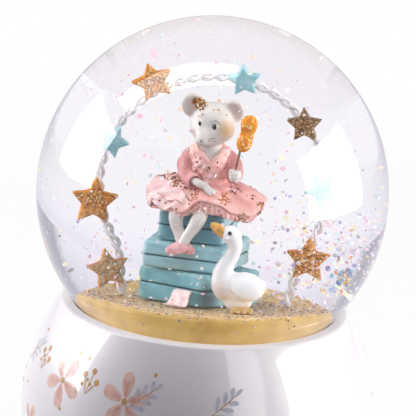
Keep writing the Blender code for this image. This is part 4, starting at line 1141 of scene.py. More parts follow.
def make_mouse():
    """Mouse in a pink dress, sitting on the boxes."""
    sleeve = painted("sleeve_pink", ((196, 128, 128), (210, 146, 144), (224, 170, 166)), 2.6, 0.5)
    # the bodice's pink is a paler copy of the dress pink, as painted light against the shade of the head and
    # arms
    chest = painted("bodice_pink", ((240, 176, 170), (250, 198, 191), (254, 218, 212)), 2.2, 0.5)
    frill = painted("frill_pink", ((222, 160, 158), (238, 186, 182), (247, 212, 206)), 1.2, 0.5)
    pale = painted("tier_pink", ((238, 192, 190), (248, 212, 209), (253, 230, 227)), 1.6, 0.5)
    shoe = painted("shoe_pink", ((222, 152, 156), (236, 178, 180), (245, 202, 202)), 1.5, 0.4)
    fur = fur_paint()
    mesh = cloth_shell(skirt_place, 0.55)
    skirt = finished("skirt_layer", mesh, [skirt_paint()], ["mouse_skirt"])
    ruffle = finished("skirt_ruffle", cloth_shell(frill_place, 0.3, 8, 384), [frill])
    mesh = sculpt(bodice_field, (-9, -7, 1.2), (7, 5, 12.5))
    bodice = finished("bodice_cloth", mesh, [chest], ["mouse_bodice"])
    mesh = sculpt(head_field, (-10, -9.5, 5.0), (8, 6, 25))
    paint_points(mesh, "hollow", ear_shade)
    head = finished("mouse_head_painted", mesh, [fur], ["mouse_head"])
    pieces = [skirt, ruffle, bodice, head]
    for number, tier in enumerate(((150, 214, 0.5, 0.97, 0.8, 7), (186, 248, 0.5, 0.84, 0.6, 7)), 1):
        pieces.append(finished(f"skirt_tier_{number}", skirt_tier(*tier), [pale]))
    for side in ("left", "right"):
        hand = HANDS[side] + [station for finger in FINGERS[side] for station in finger]
        forms = {"sleeve": (sleeve_field(SLEEVES[side]), SLEEVES[side], sleeve, "dress_pink"),
                 "hand": (hand_field(side), hand, fur, "mouse_white"),
                 "leg": (leg_field(side), LEGS[side], fur, "mouse_white"),
                 "shoe": (shoe_field(side), SHOES[side], shoe, "shoe_pink")}
        for name, (field, stations, finish, slot) in forms.items():
            mesh = sculpt(field, *bounds_of(stations), cell=0.16)
            pieces.append(finished(f"{name}_{side}", mesh, [finish], [f"mouse_{name}_{side}"]))
    make_face(head)
    return pieces


def bead(place, normal, radius, flat=0.6, tall=1.0):
    """A small domed bead set on a surface, as a mesh."""
    bm = bmesh.new()
    bmesh.ops.create_uvsphere(bm, u_segments=20, v_segments=12, radius=radius * MM)
    bmesh.ops.scale(bm, vec=(1, tall, flat), verts=bm.verts)
    turn = Vector((0, 0, 1)).rotation_difference(normal).to_matrix().to_4x4()
    bmesh.ops.transform(bm, matrix=Matrix.Translation(at(place)) @ turn, verts=bm.verts)
    return mesh_of(bm)


def painted_line(tree, points, radius, name, finish):
    """A thin painted stroke laid on a form along points of (x, z), as seen from the front."""
    route = []
    for point in smooth_path(points, 5):
        place, normal = seen_from_front(tree, point.x, point.y)
        route.append(place + normal * radius * 0.3)
    finished(name, tube(route, radius, 6), [finish])


# Painted strokes of the mouse's face, as points of (x, z)
STROKES = {"brow_left": [(-4.6, 17.7), (-4.1, 17.95), (-3.6, 17.9)],
           "brow_right": [(-0.8, 17.5), (-0.3, 17.5), (0.2, 17.2)],
           "whisker_1": [(-1.9, 13.5), (-1.1, 13.7), (-0.2, 13.7)],
           "whisker_2": [(-1.9, 13.1), (-1.0, 13.1), (0.0, 12.9)],
           "whisker_3": [(-4.5, 14.0), (-4.8, 14.4), (-5.0, 14.9)],
           "whisker_4": [(-4.6, 13.5), (-4.9, 13.7), (-5.2, 14.1)]}


def make_face(head):
    """Bead eyes, each with a white bead as a painted highlight, a small nose, brows and whiskers on the
    mouse's head.
    """
    tree = tree_of(head)
    dark = Paint("eye_black", 0.12, more={"Coat Weight": 1.0, "Coat Roughness": 0.02})
    dark.colour(dark.ramp(dark.noise(0.4), ((0.3, (18, 16, 20)), (0.7, (44, 38, 42)))))
    nose = painted("nose_pink", ((214, 194, 188), (224, 206, 200), (232, 216, 210)), 0.6, 0.35)
    line = painted("face_line", ((116, 98, 92), (136, 118, 112), (156, 138, 132)), 0.8, 0.5)
    light = painted("eye_glint", ((236, 236, 238), (246, 246, 248), (252, 252, 253)), 0.5, 0.3)
    for name, x, z, radius in (("left", -4.0, 16.5, 0.4), ("right", -0.7, 16.1, 0.5)):
        place, normal = seen_from_front(tree, x, z)
        finished(f"eye_{name}", bead(place, normal, radius, 0.5, 1.45), [dark.material])
        # painted highlight: a small white bead on each eye
        glint = place + normal * radius * 0.42 + Vector((-0.14, 0, 0.26))
        finished(f"eye_glint_{name}", bead(glint, normal, 0.13), [light])
    place, normal = seen_from_front(tree, -3.4, 13.3)
    finished("nose", bead(place, normal, 0.36, 0.4), [nose])
    for name, points in STROKES.items():
        painted_line(tree, points, 0.065, name, line)


# Lolly and goose

def lolly_field(p):
    tilt = (0, 12, 0)
    bar = rounded_box(p, (6.75, -7.4, 15.9), (1.6, 1.2, 3.8), 1.19, tilt)
    upper = ellipsoid(p, (7.1, -7.8, 18.3), (1.95, 1.35, 2.3), tilt)
    lower = ellipsoid(p, (6.25, -7.8, 13.9), (1.65, 1.1, 2.3), tilt)
    dent = ellipsoid(p, (5.9, -9.0, 16.4), (1.4, 1.35, 0.95), tilt)
    lumps = 0.05 * np.sin(3.4 * p[..., 0]) * np.sin(2.7 * p[..., 2])
    return carve(join(0.5, bar, upper, lower), dent, 0.3) + lumps


def make_lolly():
    """Two-lobed lolly on a thin stick."""
    stops = ((0.0, (232, 124, 4)), (0.45, (252, 158, 8)), (0.84, (255, 190, 40)),
             (0.94, (255, 244, 214)))
    sugar = glitter("lolly_orange", stops, 0.34, 0.4, 0.05, 0.3)
    mesh = sculpt(lolly_field, (3.4, -9.8, 10.6), (10.0, -5.4, 21.2), 0.15)
    head = finished("lolly_sugar", mesh, [sugar], ["lolly_head"])
    wood = painted("stick_wood", ((104, 66, 44), (134, 90, 62), (160, 112, 78)), 0.8, 0.55)
    stem = tube([(4.2, -7.4, 4.2), (4.8, -7.4, 8.0), (5.5, -7.4, 12.2)], 0.26)
    return [head, finished("lolly_stem", stem, [wood], ["lolly_stick"])]


def goose_field(p):
    x, y, z = GOOSE
    body = ellipsoid(p, (x + 0.5, y, z + 1.1), (5.2, 3.5, 3.4), (0, 8, 0))
    breast = ellipsoid(p, (x - 2.7, y, z + 1.5), (2.7, 2.8, 3.8), (0, -14, 0))
    neck = limb(p, [(x - 3.2, y, z + 4.2, 2.0), (x - 2.4, y, z + 6.3, 1.6), (x - 1.3, y, z + 8.3, 1.4),
                    (x - 0.7, y, z + 10.2, 1.35), (x - 1.1, y - 0.1, z + 12.0, 1.6)], 0.6)
    skull = ellipsoid(p, (x - 1.9, y - 0.2, z + 13.0), (2.25, 1.95, 2.05), (0, 20, 0))
    tail = limb(p, [(x + 3.6, y, z + 1.2, 2.2), (x + 5.0, y, z + 1.7, 1.4), (x + 6.0, y, z + 2.2, 0.7)], 0.4)
    belly = limb(p, [(x - 0.6, y, z - 2.2, 1.8), (x + 2.4, y, z - 2.2, 1.5)], 0.4)
    goose = join(0.9, body, breast, neck, skull, tail, belly)
    for side in (-1, 1):
        wing = ellipsoid(p, (x + 2.6, y + side * 2.5, z + 1.5), (4.05, 1.5, 2.9), (side * 22, 20, side * 5))
        goose = smooth_min(carve(goose, wing - 0.12, 0.3), wing, 0.05)
    ground = p[..., 2] - (SAND_TOP_Z - BALL_Z + 0.25)
    return np.maximum(goose, -ground)


def beak_field(p):
    x, y, z = GOOSE
    upper = limb(p, [(x - 3.3, y - 0.2, z + 13.2, 1.3), (x - 4.7, y - 0.3, z + 14.1, 1.05),
                     (x - 5.9, y - 0.3, z + 14.9, 0.72)], 0.4)
    gape = np.abs((p[..., 2] - z - 13.0) - 0.62 * (x - 3.3 - p[..., 0])) - 0.05
    return carve(upper, gape, 0.08)


def feet_field(p):
    x, y, z = GOOSE
    toes = [limb(p, [(x + dx, y - 2.0, z - 4.0, 0.5), (x - 0.2 + dx * 1.1, y - 3.1, z - 4.4, 0.35)], 0.3)
            for dx in (-0.1, 1.2, 2.5, 3.8)]
    pad = limb(p, [(x + 0.0, y - 1.6, z - 4.0, 0.6), (x + 1.6, y - 1.8, z - 3.9, 0.8),
                   (x + 3.6, y - 1.6, z - 4.0, 0.6)])
    return join(0.8, pad, *toes)


def make_goose():
    x, y, z = GOOSE
    white, flat = mottled("goose_white", ((243, 244, 247), (250, 251, 252), (254, 254, 255)), 4.0, 0.35)
    # painted shade: greyer white over the lower breast
    shade = white.share(white.near((x - 4.2, y - 2.0, z + 0.4), 4.6), 0.0, 0.8)
    white.colour(white.mix(shade, flat, srgb(228, 220, 215)))
    mesh = sculpt(goose_field, (x - 8, y - 6, z - 6), (x + 8, y + 6, z + 16))
    body = finished("goose_painted", mesh, [white.material], ["goose_body"])
    ochre = painted("beak_yellow", ((206, 146, 58), (226, 172, 82), (238, 194, 110)), 1.2, 0.35)
    mesh = sculpt(beak_field, (x - 8, y - 2.4, z + 11.0), (x - 1.4, y + 2, z + 16.6), 0.12)
    beak = finished("beak_painted", mesh, [ochre], ["goose_beak"])
    eye = bead(*seen_from_front(tree_of(body), x - 2.1, z + 13.6), 0.48, 0.6, 1.15)
    finished("goose_eye", eye, [bpy.data.materials["eye_black"]])
    mesh = sculpt(feet_field, (x - 3, y - 6, z - 5.6), (x + 7, y, z - 1.8), 0.14)
    tan = painted("foot_yellow", ((196, 154, 88), (210, 170, 106), (224, 188, 130)), 1.0, 0.45)
    return [body, beak, finished("goose_foot", mesh, [tan])]


# Arch and stars

def arch_route(step=0.35):
    """Places along the arch in its plane, from the left foot over to the right one."""
    foot_z = SAND_TOP_Z - BALL_Z + WIRE_R
    shoulder = (ARCH_R * math.cos(ARCH_TURN), ARCH_R * math.sin(ARCH_TURN))
    leg = Vector((ARCH_FOOT_X - shoulder[0], foot_z - shoulder[1]))
    leg_steps = max(2, round(leg.length / step))
    sweep = math.pi - 2 * ARCH_TURN
    arc_steps = round(sweep * ARCH_R / step)
    side = [Vector(shoulder) + leg * (1 - i / leg_steps) for i in range(leg_steps)]
    route = [Vector((-point.x, point.y)) for point in side]
    for i in range(arc_steps + 1):
        angle = math.pi - ARCH_TURN - sweep * i / arc_steps
        route.append(ARCH_R * Vector((math.cos(angle), math.sin(angle))))
    return route + list(reversed(side))


def make_arch():
    white = painted("arch_wire", ((222, 218, 222), (236, 233, 236), (247, 246, 248)), 1.5, 0.4)
    route = arch_route()
    wires = []
    for side, phase in (("front", 0.0), ("back", math.pi)):
        points = []
        travelled = 0.0
        for index, place in enumerate(route):
            before = route[max(index - 1, 0)]
            after = route[min(index + 1, len(route) - 1)]
            along = (after - before).normalized()
            outward = Vector((-along.y, along.x))
            travelled += (place - before).length
            angle = 2 * math.pi * travelled / WIRE_LAY + phase
            lay = place + outward * WIRE_LAY_R * math.sin(angle)
            points.append((lay.x, ARCH_Y - WIRE_LAY_R * math.cos(angle), lay.y))
        mesh = tube(points, WIRE_R, 10)
        wires.append(finished(f"wire_{side}", mesh, [white], [f"arch_wire_{side}"]))
    return wires


def star_field(centre, radius, lean):
    points = []
    for point in range(10):
        angle = math.radians(90 + 36 * point - lean)
        reach = radius if point % 2 == 0 else radius * 0.52
        points.append((reach * math.cos(angle), reach * math.sin(angle)))

    def field(p):
        x, z = p[..., 0] - centre[0], p[..., 2] - centre[2]
        gap = np.full(x.shape, 1e9, dtype=np.float32)
        inside = np.ones(x.shape, dtype=np.float32)
        for (ax, az), (bx, bz) in zip(points, points[-1:] + points[:-1]):
            ex, ez = bx - ax, bz - az
            wx, wz = x - ax, z - az
            t = np.clip((wx * ex + wz * ez) / (ex * ex + ez * ez), 0, 1)
            gap = np.minimum(gap, (wx - ex * t) ** 2 + (wz - ez * t) ** 2)
            rising = (z >= az) & (z < bz) & (ex * wz > ez * wx)
            falling = (z < az) & (z >= bz) & (ex * wz < ez * wx)
            inside = np.where(rising | falling, -inside, inside)
        flat = inside * np.sqrt(gap)
        crown = 0.25 * np.clip(-flat / radius, 0, 1)
        depth = np.abs(p[..., 1] - centre[1]) - 1.0 - crown
        return carve(flat + 0.1, -depth, 0.55)
    return field


# Stars from the left foot of the arch to the right one: x, z, radius, lean in degrees and finish
STARS = ((-19.9, -19.0, 4.7, -16, "star_dull"), (-24.2, -5.2, 5.5, 0, "star_gold"),
         (-21.8, 8.0, 4.0, 23, "star_teal"), (-14.6, 22.1, 5.0, -23, "star_gold"),
         (5.0, 23.9, 4.2, -7, "star_teal"), (18.4, 14.7, 4.3, -4, "star_bronze"),
         (22.6, 0.7, 4.0, -30, "star_teal"), (20.4, -14.2, 5.1, 2, "star_gold"))


def star_finishes():
    gold = ((0.0, (120, 70, 20)), (0.3, (196, 120, 40)), (0.6, (232, 154, 62)),
            (0.85, (248, 198, 118)), (1.0, (255, 244, 220)))
    bronze = ((0.0, (86, 60, 36)), (0.4, (130, 96, 58)), (0.75, (174, 134, 84)),
              (1.0, (226, 204, 166)))
    dull = ((0.0, (140, 108, 74)), (0.4, (196, 154, 108)), (0.75, (230, 192, 142)),
            (1.0, (250, 236, 210)))
    return {"star_gold": glitter("star_gold", gold, 0.34, edge=srgb(248, 160, 24)),
            "star_bronze": glitter("star_bronze", bronze, 0.30),
            "star_dull": glitter("star_dull", dull, 0.30, edge=srgb(230, 158, 56)),
            "star_teal": painted("star_teal", ((146, 198, 208), (162, 214, 222), (186, 226, 232)), 1.6, 0.35)}


def make_stars():
    finishes = star_finishes()
    stars = []
    for number, (x, z, radius, lean, finish) in enumerate(STARS, 1):
        low, high = span(f"star_{number}")
        centre = np.array((x, (low.y + high.y) / 2, z))
        reach = np.array((radius + 0.6, 2.0, radius + 0.6))
        mesh = sculpt(star_field(centre, radius, lean), centre - reach, centre + reach, 0.2, 2)
        stars.append(finished(f"cookie_star_{number}", mesh, [finishes[finish]], [f"star_{number}"]))
    return stars


# Glitter

def flake_into(bm, tints, place, normal, radius, tint):
    """A thin six-sided flake at a place from the ball's middle."""
    side = normal.orthogonal().normalized()
    other = normal.cross(side)
    start = RANDOM.uniform(0, math.pi)
    thickness = 0.05
    rings = []
    for lift in (-thickness / 2, thickness / 2):
        ring = []
        for i in range(6):
            angle = start + math.pi * i / 3
            offset = (side * math.cos(angle) + other * math.sin(angle)) * radius + normal * lift
            ring.append(bm.verts.new(at(place + offset)))
            tints.append(tint)
        rings.append(ring)
    bridge(bm, rings)
    bm.faces.new(rings[0])
    bm.faces.new(rings[1])


def flakes(name, spots, material):
    """One piece of loose flakes; each spot is (place, normal, radius, tint)."""
    bm = bmesh.new()
    tints = []
    for spot in spots:
        flake_into(bm, tints, *spot)
    mesh = mesh_of(bm)
    attribute = mesh.attributes.new("tint", "FLOAT_COLOR", "POINT")
    attribute.data.foreach_set("color", np.array(tints, dtype=np.float32).ravel())
    return finished(name, mesh, [material], (), FACETED)


GOLD_TONES = ((232, 160, 56), (206, 132, 40), (250, 204, 120), (150, 92, 30), (255, 240, 214), (116, 70, 34))
GOLDS = tones(*GOLD_TONES)
PALE = tones((248, 214, 226), (236, 190, 210), (226, 222, 242), (246, 240, 206), (206, 230, 232),
             (250, 222, 200), (214, 206, 226), (240, 236, 240))
BRIGHT = tones((122, 214, 200), (150, 170, 240), (196, 160, 232), (250, 236, 190), (236, 150, 190),
               (232, 168, 74), (120, 92, 60))
HAZY = tones((150, 166, 204), (176, 156, 198), (226, 196, 140), (150, 146, 152), (250, 236, 190),
             (244, 206, 222), (232, 232, 244))
BROWNS = tones((122, 78, 36), (160, 104, 44), (196, 136, 62), (226, 178, 104), (92, 56, 30), (255, 232, 190))
ORANGES = tones((240, 150, 60), (226, 124, 44), (248, 178, 96))
SILVERS = tones((214, 222, 240), (236, 238, 246), (168, 186, 232))
CLUMPED = tones((84, 112, 176), (122, 112, 176), (226, 156, 66), (120, 182, 204), (246, 222, 160))
STRAY = srgb(46, 34, 34)


def pick(palette):
    return palette[RANDOM.integers(len(palette))]


def scattered(obj, count, density):
    """Random places and directions on an object, kept by a density from 0 to 1 over the surface."""
    mesh = obj.data
    mesh.calc_loop_triangles()
    corners = np.array([triangle.vertices for triangle in mesh.loop_triangles])
    points = np.array([vert.co for vert in mesh.vertices]) / MM - np.array((0, 0, BALL_Z))
    a, b, c = (points[corners[:, i]] for i in range(3))
    cross = np.cross(b - a, c - a)
    areas = np.linalg.norm(cross, axis=1)
    chosen = RANDOM.choice(len(areas), size=count, p=areas / areas.sum())
    u, v = RANDOM.random(count), RANDOM.random(count)
    fold = u + v > 1
    u[fold], v[fold] = 1 - u[fold], 1 - v[fold]
    spots = []
    for t, s, r in zip(chosen, u, v):
        place = Vector(a[t] + (b[t] - a[t]) * s + (c[t] - a[t]) * r)
        normal = Vector(cross[t] / areas[t])
        if RANDOM.random() < density(place, normal):
            spots.append((place, normal))
    return spots


def shown_at(place):
    """Where a place shows from the camera's side: how far across and how far up."""
    return Vector((place.x, place.y * math.sin(CAMERA_RISE) + place.z * math.cos(CAMERA_RISE)))


def patch_density(patches, thin):
    """Density of glitter strewn in patches of (across, up, radius, strength), and thinly elsewhere."""
    def density(place, normal):
        if normal.dot(CAMERA_BACK) < 0.1:
            return thin * 0.3
        shown = shown_at(place)
        strewn = thin
        for across, up, radius, strength in patches:
            share = max(0.0, 1 - (shown - Vector((across, up))).length / radius)
            strewn += strength * share
        return min(1.0, strewn)
    return density


BEAD_COUNT = 78


def beads(head):
    """Gold beads in a clump below the left ear, and a few across the brow."""
    tree = tree_of(head)
    dark_to_light = sorted(GOLD_TONES)
    gold = glitter("bead_gold", tuple(zip((0.0, 0.2, 0.42, 0.64, 0.84, 1.0), dark_to_light)), 0.4, 0.5)
    spots = [(-3.55, 17.0), (-1.14, 18.1), (-0.05, 18.2), (1.76, 17.2), (-2.44, 18.9)]
    while len(spots) < BEAD_COUNT:
        across, up = RANDOM.uniform(-1, 1, 2)
        if across ** 2 + up ** 2 < 1:
            spots.append((-4.35 + 1.45 * across - 0.3 * up, 19.1 + 1.35 * up))
    bm = bmesh.new()
    for place, normal in seen_from_camera(tree, spots):
        turn = Matrix.Translation(at(place + normal * 0.1))
        bmesh.ops.create_icosphere(bm, subdivisions=2, radius=RANDOM.uniform(0.17, 0.27) * MM, matrix=turn)
    finished("head_beads", mesh_of(bm), [gold])


def lying(spots, low, high, palette, lean):
    """Flakes that lie on a surface, with radii from low to high and a random lean."""
    made = []
    for place, normal in spots:
        tilt = Vector(RANDOM.normal(0, lean, 3))
        radius = RANDOM.uniform(low, high)
        made.append((place + normal * 0.08, (normal + tilt).normalized(), radius, pick(palette)))
    return made


# Patches of glitter on the dress, as seen by the camera: across, up, radius and strength
HIP_PATCHES = ((-9.7, 1.5, 2.9, 0.9), (-11.6, 0.2, 1.6, 0.5), (-7.6, 2.0, 1.5, 0.6),
               *((3.6 + 0.55 * i, 0.35 - 0.07 * i, 0.45, 0.5) for i in range(10)))
HEM_PATCHES = ((-12.7, -1.8, 1.9, 0.8), (-8.2, -0.4, 2.6, 0.35), (-4.6, -0.8, 2.2, 0.6),
               (-5.6, -1.6, 1.0, 0.7), (-3.0, -0.2, 1.4, 0.4), (6.75, -5.2, 1.6, 0.5),
               (10.5, -2.1, 0.9, 0.5))
LAP_PATCHES = ((2.9, -1.3, 1.6, 0.9),)
FRILL_PATCHES = ((-12.7, -2.4, 1.8, 0.7), (-3.8, -4.8, 1.9, 0.5), (6.6, -5.8, 2.0, 0.5),
                 (10.6, -3.4, 1.2, 0.5))
CHEST_PATCHES = ((-4.4, 6.0, 3.4, 0.25), (-2.2, 4.0, 2.4, 0.2))
STRAY_SPOTS = ((-6.3, 8.1), (-3.8, 6.2), (-1.1, 5.3), (-4.3, 3.7), (0.5, 6.5), (3.9, 1.4), (5.4, 1.0),
               (8.6, -0.9))


def dress_glitter(skirt, ruffle, bodice, finish):
    """Glitter strewn over the dress, and a few dark specks."""
    coats = ((skirt, 6500, HIP_PATCHES, 0.006, 0.14, 0.30, BROWNS, 0.35),
             (skirt, 6500, HEM_PATCHES, 0.008, 0.14, 0.30, GOLDS, 0.35),
             (skirt, 6500, LAP_PATCHES, 0.0, 0.14, 0.28, ORANGES, 0.35),
             (ruffle, 6000, FRILL_PATCHES, 0.012, 0.10, 0.22, GOLDS, 0.35),
             (bodice, 2600, CHEST_PATCHES, 0.02, 0.10, 0.22, GOLDS + SILVERS, 0.3))
    dress = []
    for piece, count, patches, thin, low, high, palette, lean in coats:
        dress += lying(scattered(piece, count, patch_density(patches, thin)), low, high, palette, lean)
    flakes("dress_glitter", dress, finish)
    seen = seen_from_camera(tree_of(skirt, bodice), STRAY_SPOTS)
    stray = [(place + normal * 0.1, normal, 0.24, STRAY) for place, normal in seen]
    flakes("stray_flakes", stray, finish)


def floor_density(place, normal):
    return 0.8 if normal.z > 0.5 else 0.10


# Flakes that float: count, middle and spread of the cloud, least and largest radius, colours
CLOUDS = ((520, (0, 0, 0), None, 0.22, 0.58, PALE),
          (120, (0, 0, 0), None, 0.08, 0.18, BRIGHT),
          (620, (24.0, 10.0, -15.0), 7.5, 0.2, 0.55, PALE + HAZY),
          (90, (-22.0, 9.0, -15.0), 6.0, 0.16, 0.45, PALE + HAZY),
          (70, (28.5, 5.0, -17.0), 1.3, 0.3, 0.65, CLUMPED))
FLAKE_REACH = BALL_R - GLASS - 1.2
FLAKE_FLOOR = SAND_TOP_Z - BALL_Z + 0.6
CLINGING_COUNT = 520
SAND_FLAKE_COUNT = 2600


def drifting_flakes(solids, finish):
    """Flakes that float in the liquid, clear of the figures."""
    tree = tree_of(*solids)
    drifting = []
    for count, centre, spread, low, high, palette in CLOUDS:
        while count:
            if spread:
                place = Vector(centre) + Vector(RANDOM.normal(0, spread, 3))
            else:
                place = Vector(RANDOM.uniform(-FLAKE_REACH, FLAKE_REACH, 3))
            if place.length > FLAKE_REACH or place.z < FLAKE_FLOOR:
                continue
            if tree.find_nearest(at(place), 0.8 * MM)[0] is not None:
                continue
            normal = Vector(RANDOM.normal(0, 1, 3)).normalized()
            drifting.append((place, normal, RANDOM.uniform(low, high), pick(palette)))
            count -= 1
    flakes("drifting_glitter", drifting, finish)


def clinging_flakes(finish):
    """Flakes that rest on the inside of the glass along its lower right rim, as the camera sees it."""
    clinging = []
    for _ in range(CLINGING_COUNT):
        turn = math.radians(RANDOM.normal(-24, 13))
        swing = math.radians(RANDOM.normal(0, 10))
        rim = CAMERA_RIGHT * math.cos(turn) + CAMERA_UP * math.sin(turn)
        outward = rim * math.cos(swing) + CAMERA_BACK * math.sin(swing)
        place = outward * (FLAKE_REACH + 0.6)
        if place.z > FLAKE_FLOOR:
            clinging.append((place, outward, RANDOM.uniform(0.1, 0.26), pick(HAZY + BROWNS[1:4])))
    flakes("clinging_glitter", clinging, finish)


def make_glitter(skirt, ruffle, bodice, head, sand, solids):
    flake = tinted_flakes("flakes", 0.4, 1.0, 0.0)
    # the drifting flakes glow a little in their tint, as painted light
    drift = tinted_flakes("drifting_flakes", 0.1, 0.55, 0.5)
    dress_glitter(skirt, ruffle, bodice, flake)
    beads(head)
    spots = scattered(sand, SAND_FLAKE_COUNT, floor_density)
    strewn = lying(spots, 0.14, 0.36, BRIGHT + GOLDS + PALE[:4], 0.2)
    flakes("sand_glitter", strewn, flake)
    drifting_flakes(solids, drift)
    clinging_flakes(drift)


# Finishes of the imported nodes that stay

METALS = {"brass": ((222, 190, 120), (178, 140, 76), 0.3),
          "spring_steel": ((200, 202, 206), (150, 152, 156), 0.3, 1.0, (1.0, 6.0, 1.0)),
          "cast_zinc": ((190, 190, 192), (146, 146, 150), 0.48, 0.8),
          "screw_steel": ((206, 206, 208), (160, 160, 164), 0.32),
          "key_metal": ((216, 196, 148), (176, 150, 98), 0.3, 2.0)}
COATS = {"stopper_rubber": (((208, 204, 198), (222, 218, 212), (232, 229, 224)), 3.0, 0.7, 0.05),
         "foot_rubber": (((178, 178, 182), (194, 194, 198), (208, 208, 212)), 1.5, 0.8, 0.05),
         "cover_board": (((224, 222, 220), (232, 230, 228), (240, 239, 238)), 5.0, 0.6, 0.06)}


def dress_nodes():
    looks = {}
    for name, settings in METALS.items():
        looks[name] = metal(name, *settings)
    for name, settings in COATS.items():
        looks[name] = painted(name, *settings)
    for subpart in frame["record"]["subparts"]:
        look = looks.get(subpart["material_slot"])
        if not look:
            continue
        mesh = frame["nodes"][subpart["node"]].data
        if not mesh.materials:
            mesh.materials.append(look)
        for index in range(len(mesh.materials)):
            mesh.materials[index] = look


# Studio

# Each lamp: direction, distance, width and height, then its radiance, its added glow in mirrors and its tint
LAMPS = {"left": (((-0.95, 0.166, 0.261), 800.0, 553.0, 455.0), 5.8, 6.4, (1.0, 0.98, 1.0)),
         "right": (((0.971, -0.07, 0.17), 800.0, 705.0, 605.0), 6.4, 5.6, (1.0, 0.99, 0.98)),
         "top": (((-0.365, 0.06, 0.93), 850.0, 940.0, 290.0), 4.7, 0.3, (1.0, 0.99, 0.98))}
GLOW_GAP = 4.0
# Radius of the floor and how far from the globe its tone and its shadow reach, in metres
FLOOR_R = 6.0
FLOOR_FADE = 1.5
SHADOW_END = 0.6
SHADOW_FULL = 0.25
FRAME_PIXELS = 416
FOCAL_PIXELS = 2115.0
BALL_PIXEL = (212.7, 192.0)
SENSOR = 36.0


def make_camera():
    data = bpy.data.cameras.new("camera")
    data.sensor_width = SENSOR
    data.lens = SENSOR * FOCAL_PIXELS / FRAME_PIXELS
    data.shift_x = (FRAME_PIXELS / 2 - BALL_PIXEL[0]) / FRAME_PIXELS
    data.shift_y = (BALL_PIXEL[1] - FRAME_PIXELS / 2) / FRAME_PIXELS
    data.clip_start = 0.01
    camera = bpy.data.objects.new("camera", data)
    across = CAMERA_RIGHT * math.cos(CAMERA_ROLL) + CAMERA_UP * math.sin(CAMERA_ROLL)
    above = CAMERA_UP * math.cos(CAMERA_ROLL) - CAMERA_RIGHT * math.sin(CAMERA_ROLL)
    axes = Matrix((across, above, CAMERA_BACK)).transposed().to_4x4()
    camera.matrix_world = Matrix.Translation(at(CAMERA_BACK * CAMERA_DISTANCE)) @ axes
    bpy.context.scene.collection.objects.link(camera)
    bpy.context.scene.camera = camera


def softbox(name, direction, distance, width, height, radiance, tint):
    """A rectangular lamp that faces the ball from a direction."""
    data = bpy.data.lights.new(name, "AREA")
    data.shape = "RECTANGLE"
    data.size = width * MM
    data.size_y = height * MM
    data.energy = radiance * math.pi * data.size * data.size_y
    data.color = tint
    lamp = bpy.data.objects.new(name, data)
    way = Vector(direction).normalized()
    steep = abs(way.z) > 0.8
    level = Vector((1, 0, 0)) if steep else Vector((0, 0, 1)).cross(way)
    level = (level - way * level.dot(way)).normalized()
    axes = Matrix((level, way.cross(level), way)).transposed().to_4x4()
    lamp.matrix_world = Matrix.Translation(at(way * distance)) @ axes
    lamp.visible_camera = False
    lamp.visible_transmission = False
    bpy.context.scene.collection.objects.link(lamp)
    return lamp


def light_only(lamp, pieces):
    """Let a lamp light the given pieces and nothing else."""
    lit = bpy.data.collections.new(f"lit_by_{lamp.name}")
    for piece in pieces:
        lit.objects.link(piece)
    lamp.light_linking.receiver_collection = lit


def inner_fill(pieces):
    """A lamp in front that lights only what is in the ball, as the ball's own lens does."""
    lamp = softbox("front_softbox", (-0.15, -0.85, 0.5), 800.0, 600.0, 500.0, 3.5, (0.95, 0.98, 1.0))
    lamp.visible_glossy = False
    light_only(lamp, pieces)


def mirror_glow(pieces):
    """Glow of the lamps' panels, just before each, that shows only where the pieces mirror it."""
    for name, ((direction, distance, width, height), _, glow, tint) in LAMPS.items():
        lamp = softbox(f"{name}_glow", direction, distance - GLOW_GAP, width, height, glow, tint)
        lamp.visible_diffuse = False
        light_only(lamp, pieces)
    lamp = softbox("front_glow", (0.535, -0.793, 0.292), 800.0, 310.0, 1000.0, 2.4, (1.0, 0.98, 1.0))
    lamp.visible_diffuse = False
    light_only(lamp, pieces[1:])


def make_world():
    world = bpy.data.worlds.new("studio")
    bpy.context.scene.world = world
    world.use_nodes = True
    sky = Nodes(world.node_tree)
    fill = sky.nodes["Background"]
    fill.inputs["Color"].default_value = srgb(232, 232, 244)
    fill.inputs["Strength"].default_value = 0.05
    by_camera, by_gloss, by_glass = sky.seen_rays()
    place = sky.nodes.new("ShaderNodeTexCoord").outputs["Generated"]
    way = sky.node("ShaderNodeSeparateXYZ", {"Vector": place}).outputs
    left = ((0.0, (190, 187, 196)), (0.3, (176, 172, 184)), (0.8, (160, 156, 172)))
    right = ((0.0, (226, 225, 236)), (0.3, (206, 204, 216)), (0.8, (168, 164, 180)))
    ahead = ((0.0, (243, 241, 249)), (0.2, (221, 219, 228)), (0.45, (193, 190, 202)))
    sides = sky.mix(sky.share(way["X"], -0.6, 0.5), sky.ramp(way["Z"], left), sky.ramp(way["Z"], right))
    mirrored = sky.mix(sky.share(way["Y"], 0.2, 0.8), sides, WHITE)
    through = sky.mix(sky.share(way["Y"], 0.82, 0.75), sky.ramp(way["Z"], ahead), srgb(156, 154, 170))
    shader = fill.outputs["Background"]
    for share, colour in ((by_gloss, mirrored), (by_glass, through), (by_camera, WHITE)):
        glow = sky.node("ShaderNodeBackground", {"Color": colour}).outputs["Background"]
        shader = sky.blend(share, shader, glow)
    sky.links.new(shader, sky.nodes["World Output"].inputs["Surface"])


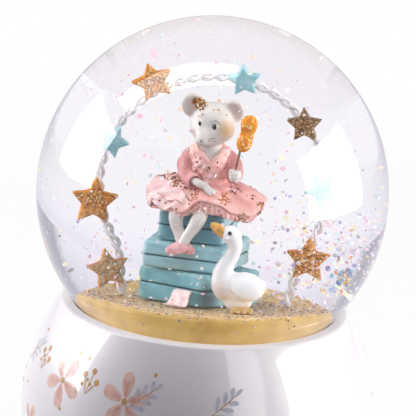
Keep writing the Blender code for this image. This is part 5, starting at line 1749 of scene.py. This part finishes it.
def make_floor():
    bm = bmesh.new()
    bmesh.ops.create_circle(bm, cap_ends=True, segments=96, radius=FLOOR_R)
    mesh = bpy.data.meshes.new("floor")
    bm.to_mesh(mesh)
    bm.free()
    floor = bpy.data.objects.new("floor", mesh)
    bpy.context.scene.collection.objects.link(floor)
    paint = Paint("floor", 0.9)
    by_camera, by_gloss, by_glass = paint.seen_rays()
    seen = paint.maths("MAXIMUM", by_camera, paint.maths("MAXIMUM", by_gloss, by_glass))
    flat = paint.ramp(paint.noise(60.0), ((0.3, (246, 246, 249)), (0.7, (252, 252, 254))))
    paint.colour(paint.mix(seen, srgb(126, 124, 130), flat))
    gap = paint.node("ShaderNodeVectorMath", {0: paint.place}, operation="LENGTH").outputs["Value"]
    away = paint.share(gap, 0.0, FLOOR_FADE)
    mirrored = paint.ramp(away, ((0.0, (255, 255, 255)), (0.22, (250, 249, 253)), (0.6, (206, 204, 214))))
    through = paint.ramp(away, ((0.08, (250, 247, 254)), (0.16, (255, 254, 255)),
                                (0.26, (255, 254, 255)), (0.4, (250, 248, 253)),
                                (1.0, (238, 236, 245))))
    shown = paint.mix(by_camera, paint.mix(by_glass, mirrored, through), WHITE)
    glow = paint.node("ShaderNodeEmission", {"Color": shown, "Strength": 1.0}).outputs["Emission"]
    shadow = paint.maths("MULTIPLY", paint.share(gap, SHADOW_END, SHADOW_FULL), 0.1)
    share = paint.maths("MULTIPLY", seen, paint.maths("SUBTRACT", 1.0, shadow))
    paint.show(paint.blend(share, paint.shader.outputs["BSDF"], glow))
    mesh.materials.append(paint.material)


def make_studio():
    make_camera()
    for name, (place, radiance, _, tint) in LAMPS.items():
        softbox(f"{name}_softbox", *place, radiance, tint)
    make_world()
    make_floor()
    bpy.context.scene.view_settings.view_transform = "Standard"


make_studio()
glass_piece = make_ball()
sand_bed = make_sand()
base_piece = make_base()
make_print()
box_pieces = make_boxes()
ribbon_piece = make_ribbon()
mouse_pieces = make_mouse()
lolly_pieces = make_lolly()
goose_pieces = make_goose()
wire_pieces = make_arch()
star_pieces = make_stars()
inner_pieces = [*box_pieces, ribbon_piece, *mouse_pieces, *lolly_pieces, *goose_pieces, *wire_pieces,
                *star_pieces]
make_glitter(*mouse_pieces[:4], sand_bed, inner_pieces)
inner_fill([*inner_pieces, sand_bed])
mirror_glow([glass_piece, base_piece])
dress_nodes()
